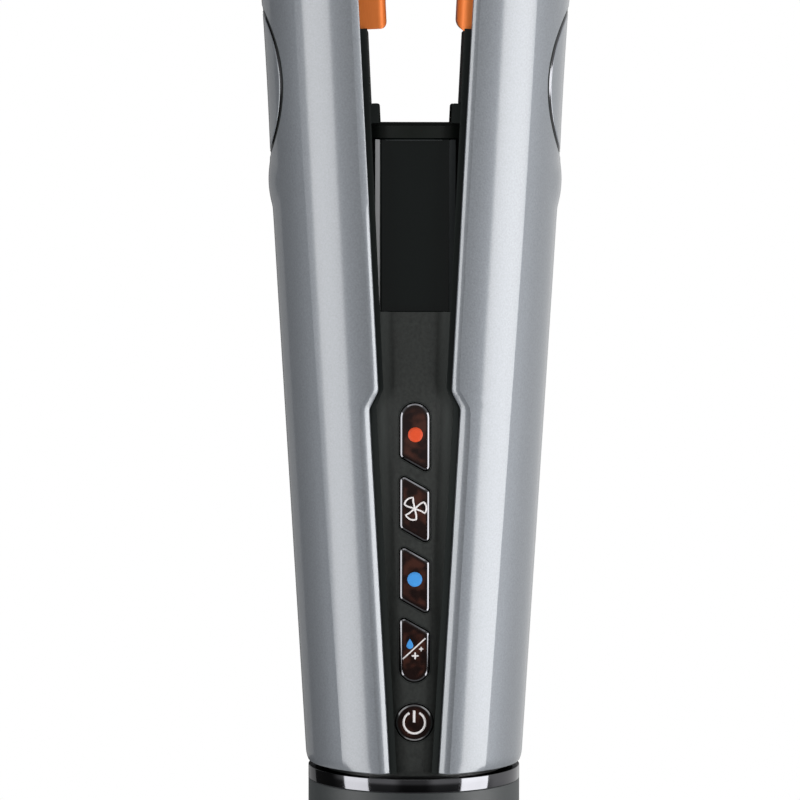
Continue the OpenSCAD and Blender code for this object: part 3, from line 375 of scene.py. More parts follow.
NODE_MATERIALS = {
    silver_paint: ["left_shell", "right_shell", "left_finger_rest", "right_finger_rest"],
    dark_chrome: ["chrome_ring", "left_rest_trim", "right_rest_trim"],
    handle_abs: ["end_cap", "filter_cage", "handle_sleeve"],
    black_abs: ["core_tube", "chassis", "display_module", "arm_lock", "left_tip_cap", "right_tip_cap"],
    matt_abs: ["left_liner", "right_liner"],
    low_gloss_abs: ["spine_cap"],
    panel_abs: ["front_panel", "rear_cover"],
    black_acrylic: ["display_window", "power_key"],
    brown_acrylic: ["heat_key", "fan_key", "cool_key", "mode_key"],
    copper_anodised: ["left_plate", "right_plate"],
    drawn_steel: ["motor_can", "key_switches", "frame_screws", "left_hinge_pin", "right_hinge_pin",
                  "left_return_spring", "right_return_spring",
                  "left_plate_springs", "right_plate_springs"],
    filter_steel: ["filter_mesh"],
    moulded_rubber: ["cord_gland", "motor_mount"],
    natural_nylon: ["impeller"],
    solder_mask: ["power_board", "control_board"],
    mica: ["air_heater", "left_plate_heater", "right_plate_heater"],
}
for material, names in NODE_MATERIALS.items():
    for name in names:
        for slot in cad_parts[name].material_slots:
            slot.material = material


# Shells, finger rests and their trims
def wand_r(z):
    """Radius of the closed wand: the smaller of two cones, less (ease - gap)^2 / (4 ease) where
    the gap between them is under the ease, which rounds the bend at the shoulder."""
    low = R_LOW + (R_HIGH - R_LOW) * (z - FOOT_Z) / (SHOULDER_Z - FOOT_Z)
    high = R_HIGH + (R_TIP - R_HIGH) * (z - SHOULDER_Z) / (TIP_Z - SHOULDER_Z)
    gap = (low - high) / SHOULDER_EASE
    bend = np.where(np.abs(gap) < 1, SHOULDER_EASE / 4 * (1 - np.abs(gap)) ** 2, 0)
    return np.minimum(low, high) - bend


def foot_ease(z):
    """How far the shell's foot draws in: a parabola over its lowest 2.2 mm, which would reach
    its full depth 1 mm below the foot."""
    return FOOT_DRAW * np.clip((FOOT_Z + FOOT_EASE_H - z) / (FOOT_EASE_H + 1), 0, 1) ** 2


def swollen(x, y, z):
    """The larger of the shell's x and that of the low round swellings above and below the
    rest, blended by (rise + sqrt(rise^2 + blend^2)) / 2 where rise is the difference."""
    for middle in SWELL_Z:
        inside = np.maximum(SWELL_R ** 2 - y ** 2 - (z - middle) ** 2, 0)
        rise = wand_r(middle) + SWELL_H - SWELL_R + np.sqrt(inside) - x
        x = x + (rise + np.sqrt(rise ** 2 + SWELL_BLEND ** 2)) / 2
    return x


# Right edge of the closed front slot, from below the foot to above the tip
SLOT_LINE = rounded_line(
    [(SLOT_LOW, FOOT_Z - 8), (SLOT_HIGH, STEP_Z), (SLOT_NECK, STEP_Z + STEP_H), (SLOT_TIP, TIP_Z + 4)],
    [STEP_ROUND, STEP_ROUND])


def slot_x(z):
    """Half width of the closed front slot at height z, read off its rounded outline."""
    return np.interp(z, SLOT_LINE[:, 1], SLOT_LINE[:, 0])


def slot_distance(x, z):
    """Distance of points from the slot's outline: the least over its straight pieces."""
    a, b = SLOT_LINE[:-1], SLOT_LINE[1:]
    p = np.stack([x, z + 0 * x], axis=-1)[..., None, :]
    t = np.clip(((p - a) * (b - a)).sum(axis=-1) / ((b - a) ** 2).sum(axis=-1), 0, 1)
    return np.linalg.norm(p - a - t[..., None] * (b - a), axis=-1).min(axis=-1)


def crease_x(z, width):
    """Where the lip starts at height z: the slot's outline moved out square to itself by the
    lip's width, found as the first of 60 points across that lies so far from the outline."""
    x = slot_x(z) + width * np.linspace(0.8, 2.2, 60)
    far = slot_distance(x, z) >= width - 1e-4
    return np.take_along_axis(x, far.argmax(axis=1)[:, None], axis=1)


def shell_rows():
    """Heights of the shell's rows: close together at the step and round the finger rest."""
    low, high = SWELL_Z
    foot, margin, flank = 3, 4, 5
    rows = [
        np.linspace(FOOT_Z, FOOT_Z + foot, 5),
        np.linspace(FOOT_Z + foot, STEP_Z - margin, 22),
        SLOT_LINE[1:-1, 1],
        np.linspace(STEP_Z + STEP_H + margin, low - flank, 12),
        np.linspace(low - flank, low, 11),
        np.linspace(low, high, 33),
        np.linspace(high, high + flank, 11),
        np.linspace(high + flank, TOP_Z, 22),
    ]
    return np.unique(np.round(np.concatenate(rows), 4))


def shell(side):
    """Outer shell: x = sqrt(r(z)^2 - y^2) from the front slot round to the rear slot,
    once at the outer radius and once a wall further in, joined by straight rims, with an
    oval hole whose ring of quads blends from a rectangle to the ellipse. Its front edge
    turns in along an arc: the sine of its slope grows evenly with the nearness to the slot."""
    rows = shell_rows()
    reach, n_side = 16.0, 24
    z_low, z_high = SWELL_Z
    hole_w, hole_h = REST_HALF_W + REST_SEAM, REST_HALF_H + REST_SEAM
    in_hole = (rows > z_low - 1e-3) & (rows < z_high + 1e-3)
    lip_w = np.interp(rows, LIP_Z, LIP_W[side])[:, None]
    first = np.sin(np.radians(np.interp(rows, LIP_Z, LIP_START[side])))[:, None]
    last = np.sin(np.radians(np.interp(rows, LIP_Z, LIP_TURN[side])))[:, None]

    def radius(z, inset, share=1.0):
        """The wand's radius less a share of the foot's easing and less the inset."""
        return wand_r(z) - share * foot_ease(z) - inset

    def slanted(z, x):
        """The foot is cut level with the arm open, so it slants by the opening angle when closed."""
        cut = PIN_Z + (FOOT_Z - PIN_Z + (x - PIN_X) * math.sin(OPEN_ANGLE)) / math.cos(OPEN_ANGLE)
        top = FOOT_Z + FOOT_CUT_H
        return np.where(z < top, cut + (z - FOOT_Z) * (top - cut) / FOOT_CUT_H, z)

    def from_x(x, z, inset, sign, x_side):
        """The front or the rear by its x: y = sign sqrt(r^2 - x^2). The foot's easing fades
        towards the slot by the fourth power of x / x_side."""
        y = sign * np.sqrt(radius(z, inset, (x / x_side) ** 4) ** 2 - x ** 2)
        return np.stack([x, y, slanted(z, x) + 0 * x], axis=-1)

    def from_y(y, z, inset):
        """The side by its y: x = sqrt(r^2 - y^2), with the swellings on the outer layer alone."""
        x = np.sqrt(radius(z, inset) ** 2 - y ** 2)
        x = x if inset else swollen(x, y, z)
        return np.stack([x, y, slanted(z, x) + 0 * y], axis=-1)

    def layer(inset):
        """One layer as five grids: the front from the slot over the lip to a fixed reach of y, the
        rear from there to its slot, and the side below the hole, above it and round it. On the
        outer layer the lip is lowered by its arc and by the slope at the crease."""
        z = rows[:, None]
        r = radius(z, inset)
        edge, crease = slot_x(z), crease_x(z, lip_w)
        x_reach = np.sqrt(r ** 2 - (reach * (r / wand_r(z))) ** 2)
        u = np.array([0, 0.04, 0.1, 0.18, 0.28, 0.4, 0.55, 0.75, 1.0])
        v = np.linspace(0, 1, 12)[1:] ** 1.2
        x = np.concatenate([edge + (crease - edge) * u, crease + (x_reach - crease) * v], axis=1)
        front = from_x(x, z, inset, -1, x_reach)
        if inset == 0:
            in_lip = x[:, :len(u)]
            near = np.clip(slot_distance(in_lip, z) / lip_w, 0, 1)
            bow, sine = lip_w / (last - first), first + (1 - near) * (last - first)
            slope = crease / np.sqrt(r ** 2 - crease ** 2)
            arc = bow * (np.sqrt(1 - first ** 2) - np.sqrt(1 - sine ** 2))
            front[:, :len(u), 1] += arc + slope * (1 - near) * lip_w
        rear_x = x_reach + (SLOT_REAR - x_reach) * np.linspace(0, 1, 14) ** 0.9
        parts = {"front": front, "rear": from_x(rear_x, z, inset, 1, x_reach)}
        y_reach = np.sqrt(r ** 2 - x_reach ** 2)
        s = np.linspace(-1, 1, n_side + 1)
        below, above = rows <= z_low + 1e-3, rows >= z_high - 1e-3
        parts["below"] = from_y(y_reach[below] * s, z[below], inset)
        parts["above"] = from_y(y_reach[above] * s, z[above], inset)
        # the rectangle round the hole, in the order bottom, rear, top, front
        rz, ry = rows[in_hole], y_reach[in_hole][:, 0]
        loop_z = np.concatenate([np.full(n_side, z_low), rz[:-1], np.full(n_side, z_high), rz[:0:-1]])
        loop_y = np.concatenate([ry[0] * s[:-1], ry[:-1], ry[-1] * s[:0:-1], -ry[:0:-1]])
        phi = np.arctan2((loop_z - REST_Z) / hole_h, loop_y / hole_w)
        blend = np.linspace(0, 1, 10)[:, None] ** 1.2
        y = hole_w * np.cos(phi) + (loop_y - hole_w * np.cos(phi)) * blend
        zz = REST_Z + hole_h * np.sin(phi) + (loop_z - REST_Z - hole_h * np.sin(phi)) * blend
        parts["hole"] = from_y(y, zz, inset)
        return parts

    outer, inner = layer(0.0), layer(SHELL_WALL)
    keys = ("front", "rear", "below", "above", "hole")
    grids = [(part[key], key == "hole") for part in (outer, inner) for key in keys]
    grids.append((np.stack([outer["hole"][0], inner["hole"][0]]), True))
    rims = [(outer["front"][:, 0], inner["front"][:, 0]), (outer["rear"][:, -1], inner["rear"][:, -1])]
    for row, middle in ((0, "below"), (-1, "above")):
        rims += [(outer[key][row], inner[key][row]) for key in ("front", middle, "rear")]
    grids += [(np.stack(pair), False) for pair in rims]
    grids = [(opened(points, side), wrap) for points, wrap in grids]
    return eased(joined(WORD[side] + "_shell_skin", grids, silver_paint, sharp=16), 0.2)


def rest_points(side, rings):
    """Rings of (scale, growth of the oval, depth under the wand) as points on the arm's side:
    y = s (w + g) cos a, z = s (h + g) sin a, x = sqrt((r(z) - depth)^2 - y^2)."""
    a = np.linspace(0, 2 * math.pi, 96, endpoint=False)
    scale, grow, depth = np.array(rings)[:, :, None].transpose(1, 0, 2)
    y = scale * (REST_HALF_W + grow) * np.cos(a)
    z = REST_Z + scale * (REST_HALF_H + grow) * np.sin(a)
    return opened(np.stack([np.sqrt((wand_r(z) - depth) ** 2 - y ** 2), y, z], axis=-1), side)


def finger_rest(side):
    """Dished inlay: its depth is a parabola over the oval, with a quarter round rim of 0.3 mm."""
    edge, rim = -TRIM_W - REST_CLEAR, REST_RIM
    turn, share = np.linspace(0, math.pi / 2, 7), np.linspace(0.97, 0, 14)
    rings = [(0, edge, SHELL_WALL), (1, edge, SHELL_WALL)]
    rings += [(1, edge - rim * (1 - math.cos(t)), REST_SUNK + rim * (1 - math.sin(t))) for t in turn]
    rings += [(v, edge - rim, REST_SUNK + REST_DISH * (1 - v ** 2)) for v in share]
    return joined(WORD[side] + "_finger_rest_dish", [(rest_points(side, rings), True)], silver_paint)


def rest_trim(side):
    """Dark chrome trim round the dish: a tiny inner chamfer and a broad one that falls to the
    seam by 25 degrees."""
    rings = [(1, -TRIM_W, SHELL_WALL), (1, -TRIM_W, REST_SUNK + TRIM_EDGE),
             (1, -TRIM_W + TRIM_EDGE, REST_SUNK), (1, -TRIM_OUT, REST_SUNK + TRIM_DROP),
             (1, -TRIM_OUT, SHELL_WALL), (1, -TRIM_W, SHELL_WALL)]
    return joined(WORD[side] + "_rest_trim_band", [(rest_points(side, rings), True)], dark_chrome,
                  sharp=12)


def rest_bed(side):
    """Black bed that fills the seam between the trim and the shell, so no wall shows in it.
    Its top is given by rings of (growth of the oval, depth under the wand)."""
    top = [(-0.18, 0.19), (0.2, 0.13), (0.49, 0.08)]
    first, last = top[0][0], top[-1][0]
    rings = [(1, first, SHELL_WALL), *((1, grow, depth) for grow, depth in top),
             (1, last, SHELL_WALL), (1, first, SHELL_WALL)]
    return joined(WORD[side] + "_rest_bed", [(rest_points(side, rings), True)], matt_abs)


# Width of the shells' front lips and their slope in degrees at the crease and at the slot, by
# height: up to the step, above it, and on either side of 168 mm, where the left lip gets flatter
LIP_Z = [STEP_Z - 2, STEP_Z + STEP_H + 2, 167.8, 168.8]
LIP_W = {LEFT: [2.1, 1.3, 1.3, 1.45], RIGHT: [2.1, 1.3, 1.3, 1.4]}
LIP_START = {LEFT: [8, 7, 7, 18], RIGHT: [8, 7, 7, 7]}
LIP_TURN = {LEFT: [42, 48, 48, 25], RIGHT: [42, 48, 48, 44]}

for side in (LEFT, RIGHT):
    arm = WORD[side] + "_arm"
    placed(shell(side), WORD[side] + "_shell", arm)
    placed(finger_rest(side), WORD[side] + "_finger_rest", arm)
    placed(rest_trim(side), WORD[side] + "_rest_trim", arm)
    added(rest_bed(side), arm)


# Heated plates
def plate_skin(side, face_u, edge_r, end_r, sunk):
    """Plate with rounded front edges: at each height the section's u is the larger of the
    section outline and the end rounding, u = face + r - sqrt(r^2 - (r - d)^2) at distance d
    from the end. The lower end is sunk a little and drafted, so that it rises by 1 mm to the
    back. Both fade out 20 mm up."""
    corners = [(face_u, -PLATE_HALF_W), (face_u, PLATE_HALF_W)]
    outline = rounded_line([(PLATE_BACK, -PLATE_HALF_W), *corners, (PLATE_BACK, PLATE_HALF_W)],
                           [edge_r, edge_r], 12)
    ends = end_r * (1 - np.cos(np.linspace(0, math.pi / 2, 13)))
    straight = np.linspace(end_r, PLATE_LEN - end_r, 40)[1:-1]
    rise = np.concatenate([ends, straight, PLATE_LEN - ends[::-1]])
    inward = np.clip(end_r - np.minimum(rise, PLATE_LEN - rise), 0, end_r)
    end_u = face_u + end_r - np.sqrt(end_r ** 2 - inward ** 2)
    u = np.maximum(outline[:, 0], end_u[:, None])
    y = outline[:, 1] + 0 * u
    fade = np.clip(1 - rise[:, None] / PLATE_FADE, 0, 1)
    z = PLATE_Z + rise[:, None] + (PLATE_DRAFT * (y + PLATE_HALF_W) - sunk) * fade
    front, back = np.stack([u, y, z], axis=-1), np.stack([PLATE_BACK + 0 * u, y, z], axis=-1)
    grids = [front, back, np.stack([front[0], back[0]]), np.stack([front[-1], back[-1]])]
    wide = PLATE_HALF_W + PLATE_FLANGE_OUT
    loop = rounded_loop([(PLATE_BACK, -wide), (PLATE_BACK + PLATE_FLANGE_T, -wide),
                         (PLATE_BACK + PLATE_FLANGE_T, wide), (PLATE_BACK, wide)],
                        [PLATE_FLANGE_ROUND] * 4, 4)
    low, high = PLATE_Z + PLATE_FLANGE_SHORT, PLATE_Z + PLATE_LEN - PLATE_FLANGE_SHORT
    middle = loop.mean(axis=0)
    flange = np.array([np.column_stack([middle + (loop - middle) * k, np.full(len(loop), h)])
                       for k, h in ((0, low), (1, low), (1, high), (0, high))])
    grids = [(opened(points, side), False) for points in grids] + [(opened(flange, side), True)]
    return joined(WORD[side] + "_plate_skin", grids, copper_anodised, sharp=50)


# Depth of each plate's face, radii of its front edges and its ends, and how far its foot is sunk
PLATE_FORM = {LEFT: (-1.0, 1.6, 1.1, 0.6), RIGHT: (1.3, 2.3, 2.3, 1.1)}

for side, form in PLATE_FORM.items():
    placed(plate_skin(side, *form), WORD[side] + "_plate", WORD[side] + "_plate")


# Display window
WINDOW_TOP = SPINE_Z - SPINE_CAP_H
WINDOW_FOOT = WINDOW_TOP - WINDOW_H


def window_front():
    """Depth of the window's flat face: its bevels end on the chord of the panel's round front."""
    edge = wand_r(WINDOW_FOOT) - SPINE_INSET - WINDOW_SEAT
    half = WINDOW_HALF_W + WINDOW_BEVEL
    return -(math.sqrt(edge ** 2 - half ** 2) + BEVEL_DROP)


WINDOW_Y = window_front()


def upright(name, loop, rises, material, sharp=30):
    """A closed (x, y) outline carried up the Z axis: each of its rises is (height, scale of
    the outline towards its own middle, shift to the back), and both ends close to a point."""
    middle = loop.mean(axis=0)
    rings = [(rises[0][0], 0, rises[0][2]), *rises, (rises[-1][0], 0, rises[-1][2])]
    points = np.array([np.column_stack([middle + (loop - middle) * k + [0, back], np.full(len(loop), z)])
                       for z, k, back in rings])
    return joined(name, [(points, True)], material, sharp=sharp)


def window_glass():
    """Flat glossy face with bevelled sides and small bevels along its foot and its top edge."""
    half, face, back = WINDOW_HALF_W + WINDOW_BEVEL, WINDOW_Y, WINDOW_Y + BEVEL_DROP
    loop = rounded_loop([(-half, back), (-WINDOW_HALF_W, face), (WINDOW_HALF_W, face), (half, back),
                         (half, back + WINDOW_T), (-half, back + WINDOW_T)],
                        [0.1, 0.12, 0.12, 0.1, 0.1, 0.1], 4)
    rises = [(WINDOW_FOOT, 1, 0.12), (WINDOW_FOOT + 0.12, 1, 0),
             (WINDOW_TOP - 0.3, 1, 0), (WINDOW_TOP, 1, 0.11)]
    return upright("window_glass", loop, rises, black_acrylic, sharp=18)


def bevel_strip(name, side, inset, fall, material):
    """Strip lying on one bevel of the window, an inset from the face, which falls by the given
    amount over its width. It carries a painted reflection of that bevel."""
    x0, x1 = WINDOW_HALF_W + inset, WINDOW_HALF_W + WINDOW_BEVEL
    y0, y1, back = WINDOW_Y, WINDOW_Y + fall, WINDOW_Y + BEVEL_DROP + 0.1
    loop = np.array([(side * x0, y0), (side * x1, y1), (side * x1, back), (side * x0, y0 + 0.1)])
    rises = [(WINDOW_FOOT + 0.1, 1, 0), (WINDOW_TOP - 0.4, 1, 0), (WINDOW_TOP - 0.25, 1, 0.1)]
    return upright(name, loop, rises, material)


def painted_top_highlight(name, x0, x1, material):
    """Painted highlight: a fine grey line along the top of the window's face, 0.2 mm high and lifted by
    0.02 mm.
    """
    y0, y1 = WINDOW_Y - 0.02, WINDOW_Y + 0.05
    loop = np.array([(x0, y0), (x1, y0), (x1, y1), (x0, y1)])
    return upright(name, loop, [(WINDOW_TOP - 0.5, 1, 0), (WINDOW_TOP - 0.3, 1, 0)], material)


placed(window_glass(), "display_window", "frame")
# Painted light on the window: the pale strip on the left bevel is a painted reflection
for strip in (bevel_strip("window_painted_reflection", LEFT, 0.35, 0.25, painted_bevel_reflection),
              # a dim grey strip on the right bevel is a painted dim reflection
              bevel_strip("window_painted_dim_reflection", RIGHT, 0.03, 0.3, handle_abs),
              # a fine grey line along the top edge is a painted highlight
              painted_top_highlight("window_top_highlight", -5.6, 5.1, handle_abs)):
    added(strip, "frame")


# Keys and their icons: chamfers of the caps, then gap and seam in the panel, bands and ink
CHAMFER_W, KEY_CHAMFER, POWER_CHAMFER = 0.28, 0.122, 0.06
KEY_CLEAR, SEAM_W, BAND_T, INK = 0.28, 0.22, 0.1, 0.02
# Rings of a key's top, from its chamfer to its middle: scale, and how far inside the key it counts
KEY_TOP = ((0.93, 0.0), (0.86, 0.6), (0.8, 1.0), (0.6, 1.0), (0.3, 1.0), (0.0, 1.0))


def front_y(x, z):
    """Depth of the spine's round front at a point seen from the front."""
    return -np.sqrt((wand_r(z) - SPINE_INSET) ** 2 - x ** 2)


def key_loop(i, grow=0.0):
    """Outline of long key i, counted down, grown outwards: every side moves by the growth."""
    low = POWER_Z + POWER_R + POWER_GAP
    top = low + KEY_LEN + KEY_SLANT - KEY_CORNER + (3 - i) * (KEY_LEN + KEY_GAP)
    half, bottom = KEY_W / 2, top - KEY_LEN
    corners = np.array([
        (-half, low if i == 3 else bottom), (half, low if i == 3 else bottom - KEY_SLANT),
        (half, top if i == 0 else top - KEY_SLANT), (-half, top)])
    edges = corners - np.roll(corners, 1, axis=0)
    normals = np.stack([edges[:, 1], -edges[:, 0]], axis=1) / np.linalg.norm(edges, axis=1)[:, None]
    after = np.roll(normals, -1, axis=0)
    corners = corners + grow * (normals + after) / (1 + (normals * after).sum(axis=1))[:, None]
    r, full = max(KEY_CORNER + grow, 0.05), half + grow - 0.01
    radii = [full if i == 3 else r] * 2 + [full if i == 0 else r] * 2
    return resampled(rounded_loop(corners, radii), 120)


def power_loop(grow=0.0):
    """Outline of the round power key."""
    return circle(0, POWER_Z, POWER_R + grow, 120)


def key_cap(name, loop, material, chamfer, deep):
    """A key from rings: a flange, straight sides, a flat chamfer and a top that follows
    the spine's round front. The attribute depth_in is 0 at the chamfer and deep inside."""
    centre = loop(0).mean(axis=0)

    def ring(grow, scale, y, under=0.0):
        """The outline grown, then scaled about its middle, at depth y or an amount under the round
        front where y is None."""
        p = centre + (loop(grow) - centre) * scale
        depth = np.full(len(p), y) if y is not None else front_y(p[:, 0], p[:, 1]) + under
        return np.stack([p[:, 0], depth, p[:, 1]], axis=1)

    back = FLANGE_Y + FLANGE_T
    rings = [ring(FLANGE_OUT, 0, back), ring(FLANGE_OUT, 1, back), ring(FLANGE_OUT, 1, FLANGE_Y),
             ring(0, 1, FLANGE_Y), ring(0, 1, None, chamfer), ring(-CHAMFER_W, 1, None)]
    marks = [0] * len(rings)
    for scale, mark in KEY_TOP:
        rings.append(ring(-CHAMFER_W, scale, None))
        marks.append(mark)
    points = np.array(rings)
    depth_in = np.repeat(marks, points.shape[1]) * deep
    return joined(name, [(points, True)], material, sharp=25, marks=depth_in)


def key_band(name, loop, inner, outer, material):
    """A thin closed band round a key: its inner and outer edges are each (growth, depth under
    the round front)."""
    rings = []
    for (grow, under), t in ((inner, 0), (outer, 0), (outer, BAND_T), (inner, BAND_T), (inner, 0)):
        p = loop(grow)
        rings.append(np.column_stack([p[:, 0], front_y(p[:, 0], p[:, 1]) + under + t, p[:, 1]]))
    return joined(name, [(np.array(rings), True)], material, sharp=20)


def on_front(points_xz, lift):
    """Points of the front view laid on the keys' round front, lifted by a hundredth or two."""
    x, z = points_xz[..., 0], points_xz[..., 1]
    return np.stack([x, front_y(x, z) - lift, z], axis=-1)


def printed_stroke(name, path, width, closed, material):
    """A printed line: a flat band of even width along a path, closed at its ends."""
    path = np.asarray(path, float)
    if closed:
        path = np.vstack([path, path[:1]])
        ahead = np.vstack([path[1:], path[1:2]]) - np.vstack([path[-2:-1], path[:-1]])
    else:
        ahead = np.gradient(path, axis=0)
    square = np.stack([-ahead[:, 1], ahead[:, 0]], axis=1)
    across = square / np.linalg.norm(ahead, axis=1)[:, None] * width / 2
    rows = [on_front(path + across, -INK), on_front(path + across, INK),
            on_front(path - across, INK), on_front(path - across, -INK)]
    points = np.stack(rows, axis=1)
    if not closed:
        ends = [np.repeat(points[k].mean(axis=0)[None], 4, axis=0) for k in (0, -1)]
        points = np.concatenate([ends[0][None], points, ends[1][None]])
    return joined(name, [(points, True)], material)


def printed_patch(name, loop, material):
    """A printed area: fans over and under a star-shaped outline, joined round its edge."""
    centre = loop.mean(axis=0)
    rings = [on_front(centre + (loop - centre) * k, lift)
             for k, lift in ((0, -INK), (1, -INK), (1, INK), (0.6, INK), (0.3, INK), (0, INK))]
    return joined(name, [(np.array(rings), True)], material)


def spoke(r, angle, bow):
    """A slightly bowed line from the middle out to radius r: its angle swings by bow sin(pi t)."""
    t = np.linspace(0, 1, 10)
    a = math.radians(angle) + bow * np.sin(math.pi * t)
    return np.stack([r * t * np.cos(a), r * t * np.sin(a)], axis=1)


def fan_blade(x, z, r, middle):
    """Outline of one blade: out along one side, round the tip and back with a slight bow."""
    a = np.radians(np.linspace(middle - 29, middle + 29, 10))
    bulge = 1 + 0.06 * np.cos(np.linspace(-1.5, 1.5, 10))
    tip = r * np.stack([np.cos(a), np.sin(a)], axis=1) * bulge[:, None]
    return np.vstack([spoke(r, middle - 31, 0.1)[:-1], tip, spoke(r, middle + 31, 0.1)[:0:-1]]) + [x, z]


def star(x, z, r, waist):
    """A four-pointed spark with hollow sides: its radius falls from r to waist r between points."""
    a = np.linspace(0, 2 * math.pi, 32, endpoint=False)
    radius = r * (waist + (1 - waist) * np.abs(np.cos(2 * a)) ** 2.5)
    return np.stack([x + radius * np.cos(a), z + radius * np.sin(a)], axis=1)


def water_drop(x, z, w, h):
    """A drop: a half circle below, and above it a width that falls by (1 - up)^0.75 to a point."""
    a = np.linspace(-math.pi / 2, 1.5 * math.pi, 40, endpoint=False)
    rise = np.sin(a)
    up = np.maximum(rise, 0)
    width = np.where(rise > 0, (1 - up) ** 0.75 * (1 + 0.9 * up) ** 0.4, 1.0)
    height = np.where(rise > 0, h * 0.64, h * 0.36) * rise
    return np.stack([x + w / 2 * np.cos(a) * width, z - h * 0.14 + height], axis=1)


LONG_KEYS = ("heat_key", "fan_key", "cool_key", "mode_key")
KEY_LOOPS = {key: partial(key_loop, i) for i, key in enumerate(LONG_KEYS)}
KEY_LOOPS["power_key"] = power_loop
for key, loop in KEY_LOOPS.items():
    finish, plate, chamfer, deep = "key_gloss", dark_chrome, KEY_CHAMFER, 1.0
    if key == "power_key":
        finish, plate, chamfer, deep = "power_gloss", bright_chrome, POWER_CHAMFER, 0.5
    placed(key_cap(key + "_cap", loop, brown_acrylic, chamfer, deep), key, key)
    edge = key_band(key + "_edge", loop, (-CHAMFER_W, -0.02), (-0.02, chamfer - 0.025), plate)
    added(edge, key)
    seam = key_band(key + "_seam", loop, (KEY_CLEAR, 0.02), (KEY_CLEAR + SEAM_W, -0.015), matt_abs)
    added(seam, "frame")

# Icons printed on the keys, each by its middle (x, z) and its size in millimetres
added(printed_patch("heat_dot", circle(0.1, 127.5, 1.4), red_ink), "heat_key")
added(printed_patch("cool_dot", circle(0.03, 100.0, 1.4), blue_ink), "cool_key")
for k, middle in enumerate((128, 4, -114)):
    blade = fan_blade(0.0, 113.5, 2.1, middle)
    added(printed_stroke(f"fan_blade_{k}", blade, 0.31, True, white_ink), "fan_key")
slash = np.linspace([-2.25, 84.75], [2.08, 88.75], 12)
added(printed_patch("mode_drop", water_drop(-0.87, 87.7, 1.3, 1.95), blue_ink), "mode_key")
added(printed_stroke("mode_slash", slash, 0.26, False, white_ink), "mode_key")
added(printed_patch("mode_spark_large", star(0.13, 85.4, 0.72, 0.3), white_ink), "mode_key")
added(printed_patch("mode_spark_small", star(1.27, 86.7, 0.44, 0.4), white_ink), "mode_key")
turn = np.radians(np.linspace(117, 423, 60))
power_arc = np.stack([2.06 * np.cos(turn), POWER_Z + 2.06 * np.sin(turn)], axis=1)
power_bar = np.linspace([-0.04, POWER_Z + 0.05], [-0.04, POWER_Z + 2.35], 8)
added(printed_stroke("power_arc", power_arc, 0.42, False, white_ink), "power_key")
added(printed_stroke("power_bar", power_bar, 0.46, False, white_ink), "power_key")


# Base
def rounded_ring(name, outer, inner, z0, z1, ease, material):
    """A ring whose four edges are arcs of the easing radius."""
    corners = [(outer, z0), (outer, z1), (inner, z1), (inner, z0)]
    return revolved(name, rounded_loop(corners, [ease] * 4, 5), material)


RING_FOOT = BASE_H - RING_H
placed(rounded_ring("bright_ring", BASE_R, CORE_R, RING_FOOT, BASE_H, 0.12, dark_chrome),
       "chrome_ring", "frame")
placed(rounded_ring("handle_collar", BASE_R, BASE_R - BASE_WALL, RING_FOOT - SLEEVE_H, RING_FOOT, 0.2,
                    handle_abs), "handle_sleeve", "frame")


# Floor, world, lights and camera
def stage_white(name, near_mm, far_mm):
    """Floor: pale and shadowed near the object, the plain white of the backdrop away from it."""
    material = bpy.data.materials.new(name)
    material.use_nodes = True
    tree = material.node_tree
    tree.nodes.clear()
    place = add(tree, "ShaderNodeTexCoord")
    away = add(tree, "ShaderNodeVectorMath", {"Vector": place.outputs["Object"]}, operation="LENGTH")
    fade = add(tree, "ShaderNodeMapRange", {"Value": away.outputs["Value"]},
               interpolation_type="SMOOTHSTEP", From_Min=near_mm * MM, From_Max=far_mm * MM, To_Min=0.5)
    rays = add(tree, "ShaderNodeLightPath")
    seen = add(tree, "ShaderNodeMath", {0: fade.outputs["Result"], 1: rays.outputs["Is Camera Ray"]},
               operation="MULTIPLY")
    pale = add(tree, "ShaderNodeBsdfDiffuse", Color=(0.86, 0.86, 0.86, 1))
    white = add(tree, "ShaderNodeEmission", Strength=1.0)
    both = add(tree, "ShaderNodeMixShader",
               {0: seen.outputs[0], 1: pale.outputs[0], 2: white.outputs[0]})
    add(tree, "ShaderNodeOutputMaterial", {"Surface": both.outputs[0]})
    return material


def floor_disc(radius, z, rings, spokes):
    """A flat disc made of rings of quads. It is small, so that the softboxes shine past it."""
    r = np.linspace(0, radius, rings)[:, None]
    a = np.linspace(0, 2 * math.pi, spokes, endpoint=False)
    points = np.stack([r * np.cos(a), r * np.sin(a), np.full((rings, spokes), z)], axis=-1)
    faces = grid_faces(rings, spokes, wrap=True)
    return mesh_object("floor", points.reshape(-1, 3), faces, stage_white("pale_floor", 45, 125))


floor_disc(140, -0.2, 7, 72)


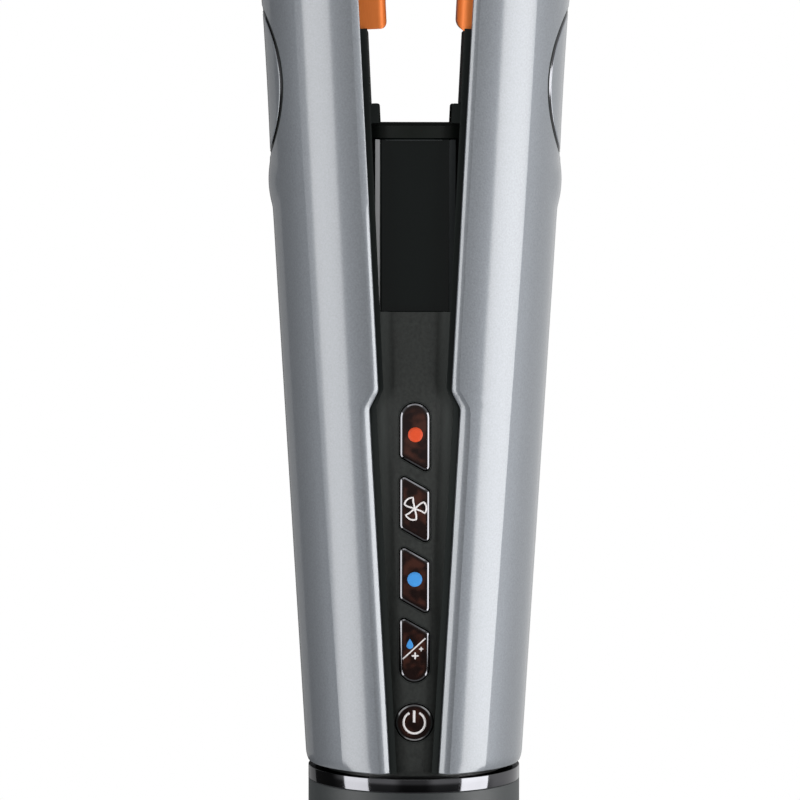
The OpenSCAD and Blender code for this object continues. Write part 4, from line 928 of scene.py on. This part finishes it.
def studio_world():
    """The studio round the object: dim at the back left, brighter at the back right, plain at the
    front with a dark field straight ahead and below, and plain white to the camera itself."""
    world = bpy.data.worlds.new("studio")
    world.use_nodes = True
    bpy.context.scene.world = world
    tree = world.node_tree
    tree.nodes.clear()
    place = add(tree, "ShaderNodeTexCoord")
    parts = add(tree, "ShaderNodeSeparateXYZ", {"Vector": place.outputs["Generated"]})
    x, y, z = (parts.outputs[axis] for axis in "XYZ")
    off_middle = add(tree, "ShaderNodeMath", {0: x}, operation="ABSOLUTE").outputs[0]
    # a measure of the direction, where its step starts and ends, and the light before and after it
    steps = {
        "back": (x, -0.05, 0.35, 0.03, 0.79),
        "sides": (off_middle, 0.2, 0.4, 0.22, 0.66),
        "low_front": (z, -0.16, -0.08, 0.15, 1.0),
        "behind": (y, -0.25, 0.2, 0.0, 1.0),
        "below": (z, -0.5, -0.15, 0.3, 1.0),
    }
    light = {}
    for name, (value, start, end, low, high) in steps.items():
        step = add(tree, "ShaderNodeMapRange", {"Value": value}, interpolation_type="SMOOTHSTEP",
                   From_Min=start, From_Max=end, To_Min=low, To_Max=high)
        light[name] = step.outputs["Result"]
    front = add(tree, "ShaderNodeMath", {0: light["sides"], 1: light["low_front"]}, operation="MULTIPLY")
    around = add(tree, "ShaderNodeMix", {"Factor": light["behind"], PLAIN_A: front.outputs[0],
                                         PLAIN_B: light["back"]}, data_type="FLOAT")
    dome = add(tree, "ShaderNodeMath", {0: around.outputs[0], 1: light["below"]}, operation="MULTIPLY")
    rays = add(tree, "ShaderNodeLightPath")
    strength = add(tree, "ShaderNodeMix", {"Factor": rays.outputs["Is Camera Ray"],
                                           PLAIN_A: dome.outputs[0], PLAIN_B: 1.0}, data_type="FLOAT")
    background = add(tree, "ShaderNodeBackground", {"Strength": strength.outputs[0]}, Color=(1, 1, 1, 1))
    add(tree, "ShaderNodeOutputWorld", {"Surface": background.outputs[0]})


def softbox(name, azimuth, distance, centre_z, width, height, radiance):
    """An upright softbox that faces the object from an azimuth, where 0 is the camera's side."""
    light = bpy.data.lights.new(name, "AREA")
    light.shape = "RECTANGLE"
    light.size, light.size_y = width, height
    light.energy = radiance * math.pi * width * height
    obj = bpy.data.objects.new(name, light)
    a = math.radians(azimuth)
    obj.location = (math.sin(a) * distance, -math.cos(a) * distance, centre_z)
    obj.rotation_euler = (math.radians(90), 0, a)
    obj.visible_camera = False
    bpy.context.scene.collection.objects.link(obj)


# Azimuth in degrees, then distance, height of the middle, width and height in metres, and radiance
SOFTBOXES = {
    "softbox_left": (-66, 2.0, -0.75, 1.09, 2.4, 5.5),
    "softbox_right": (70.1, 2.0, -0.75, 1.26, 2.4, 7.4),
    "softbox_overhead": (0, 0.8, 0.875, 1.3, 0.4, 1.6),
    "softbox_back_left": (-150, 1.1, 0.4, 0.6, 1.2, 0.3),
}
# Camera worked out from the photo: focal length and width in pixels, place in metres, tilt and roll
FOCAL_PX, PICTURE_PX, SENSOR_MM = 4092.7, 800, 36.0
CAMERA_PLACE, CAMERA_TILT, CAMERA_ROLL = (-0.00292, -0.7892, 0.18924), 4.097, -0.1

studio_world()
for name, form in SOFTBOXES.items():
    softbox(name, *form)

camera = bpy.data.objects.new("camera", bpy.data.cameras.new("camera"))
bpy.context.scene.collection.objects.link(camera)
camera.data.sensor_width = SENSOR_MM
camera.data.lens = FOCAL_PX / PICTURE_PX * SENSOR_MM
camera.location = CAMERA_PLACE
camera.rotation_euler = (math.radians(90 - CAMERA_TILT), math.radians(CAMERA_ROLL), 0)
bpy.context.scene.camera = camera
bpy.context.scene.view_settings.view_transform = "Standard"
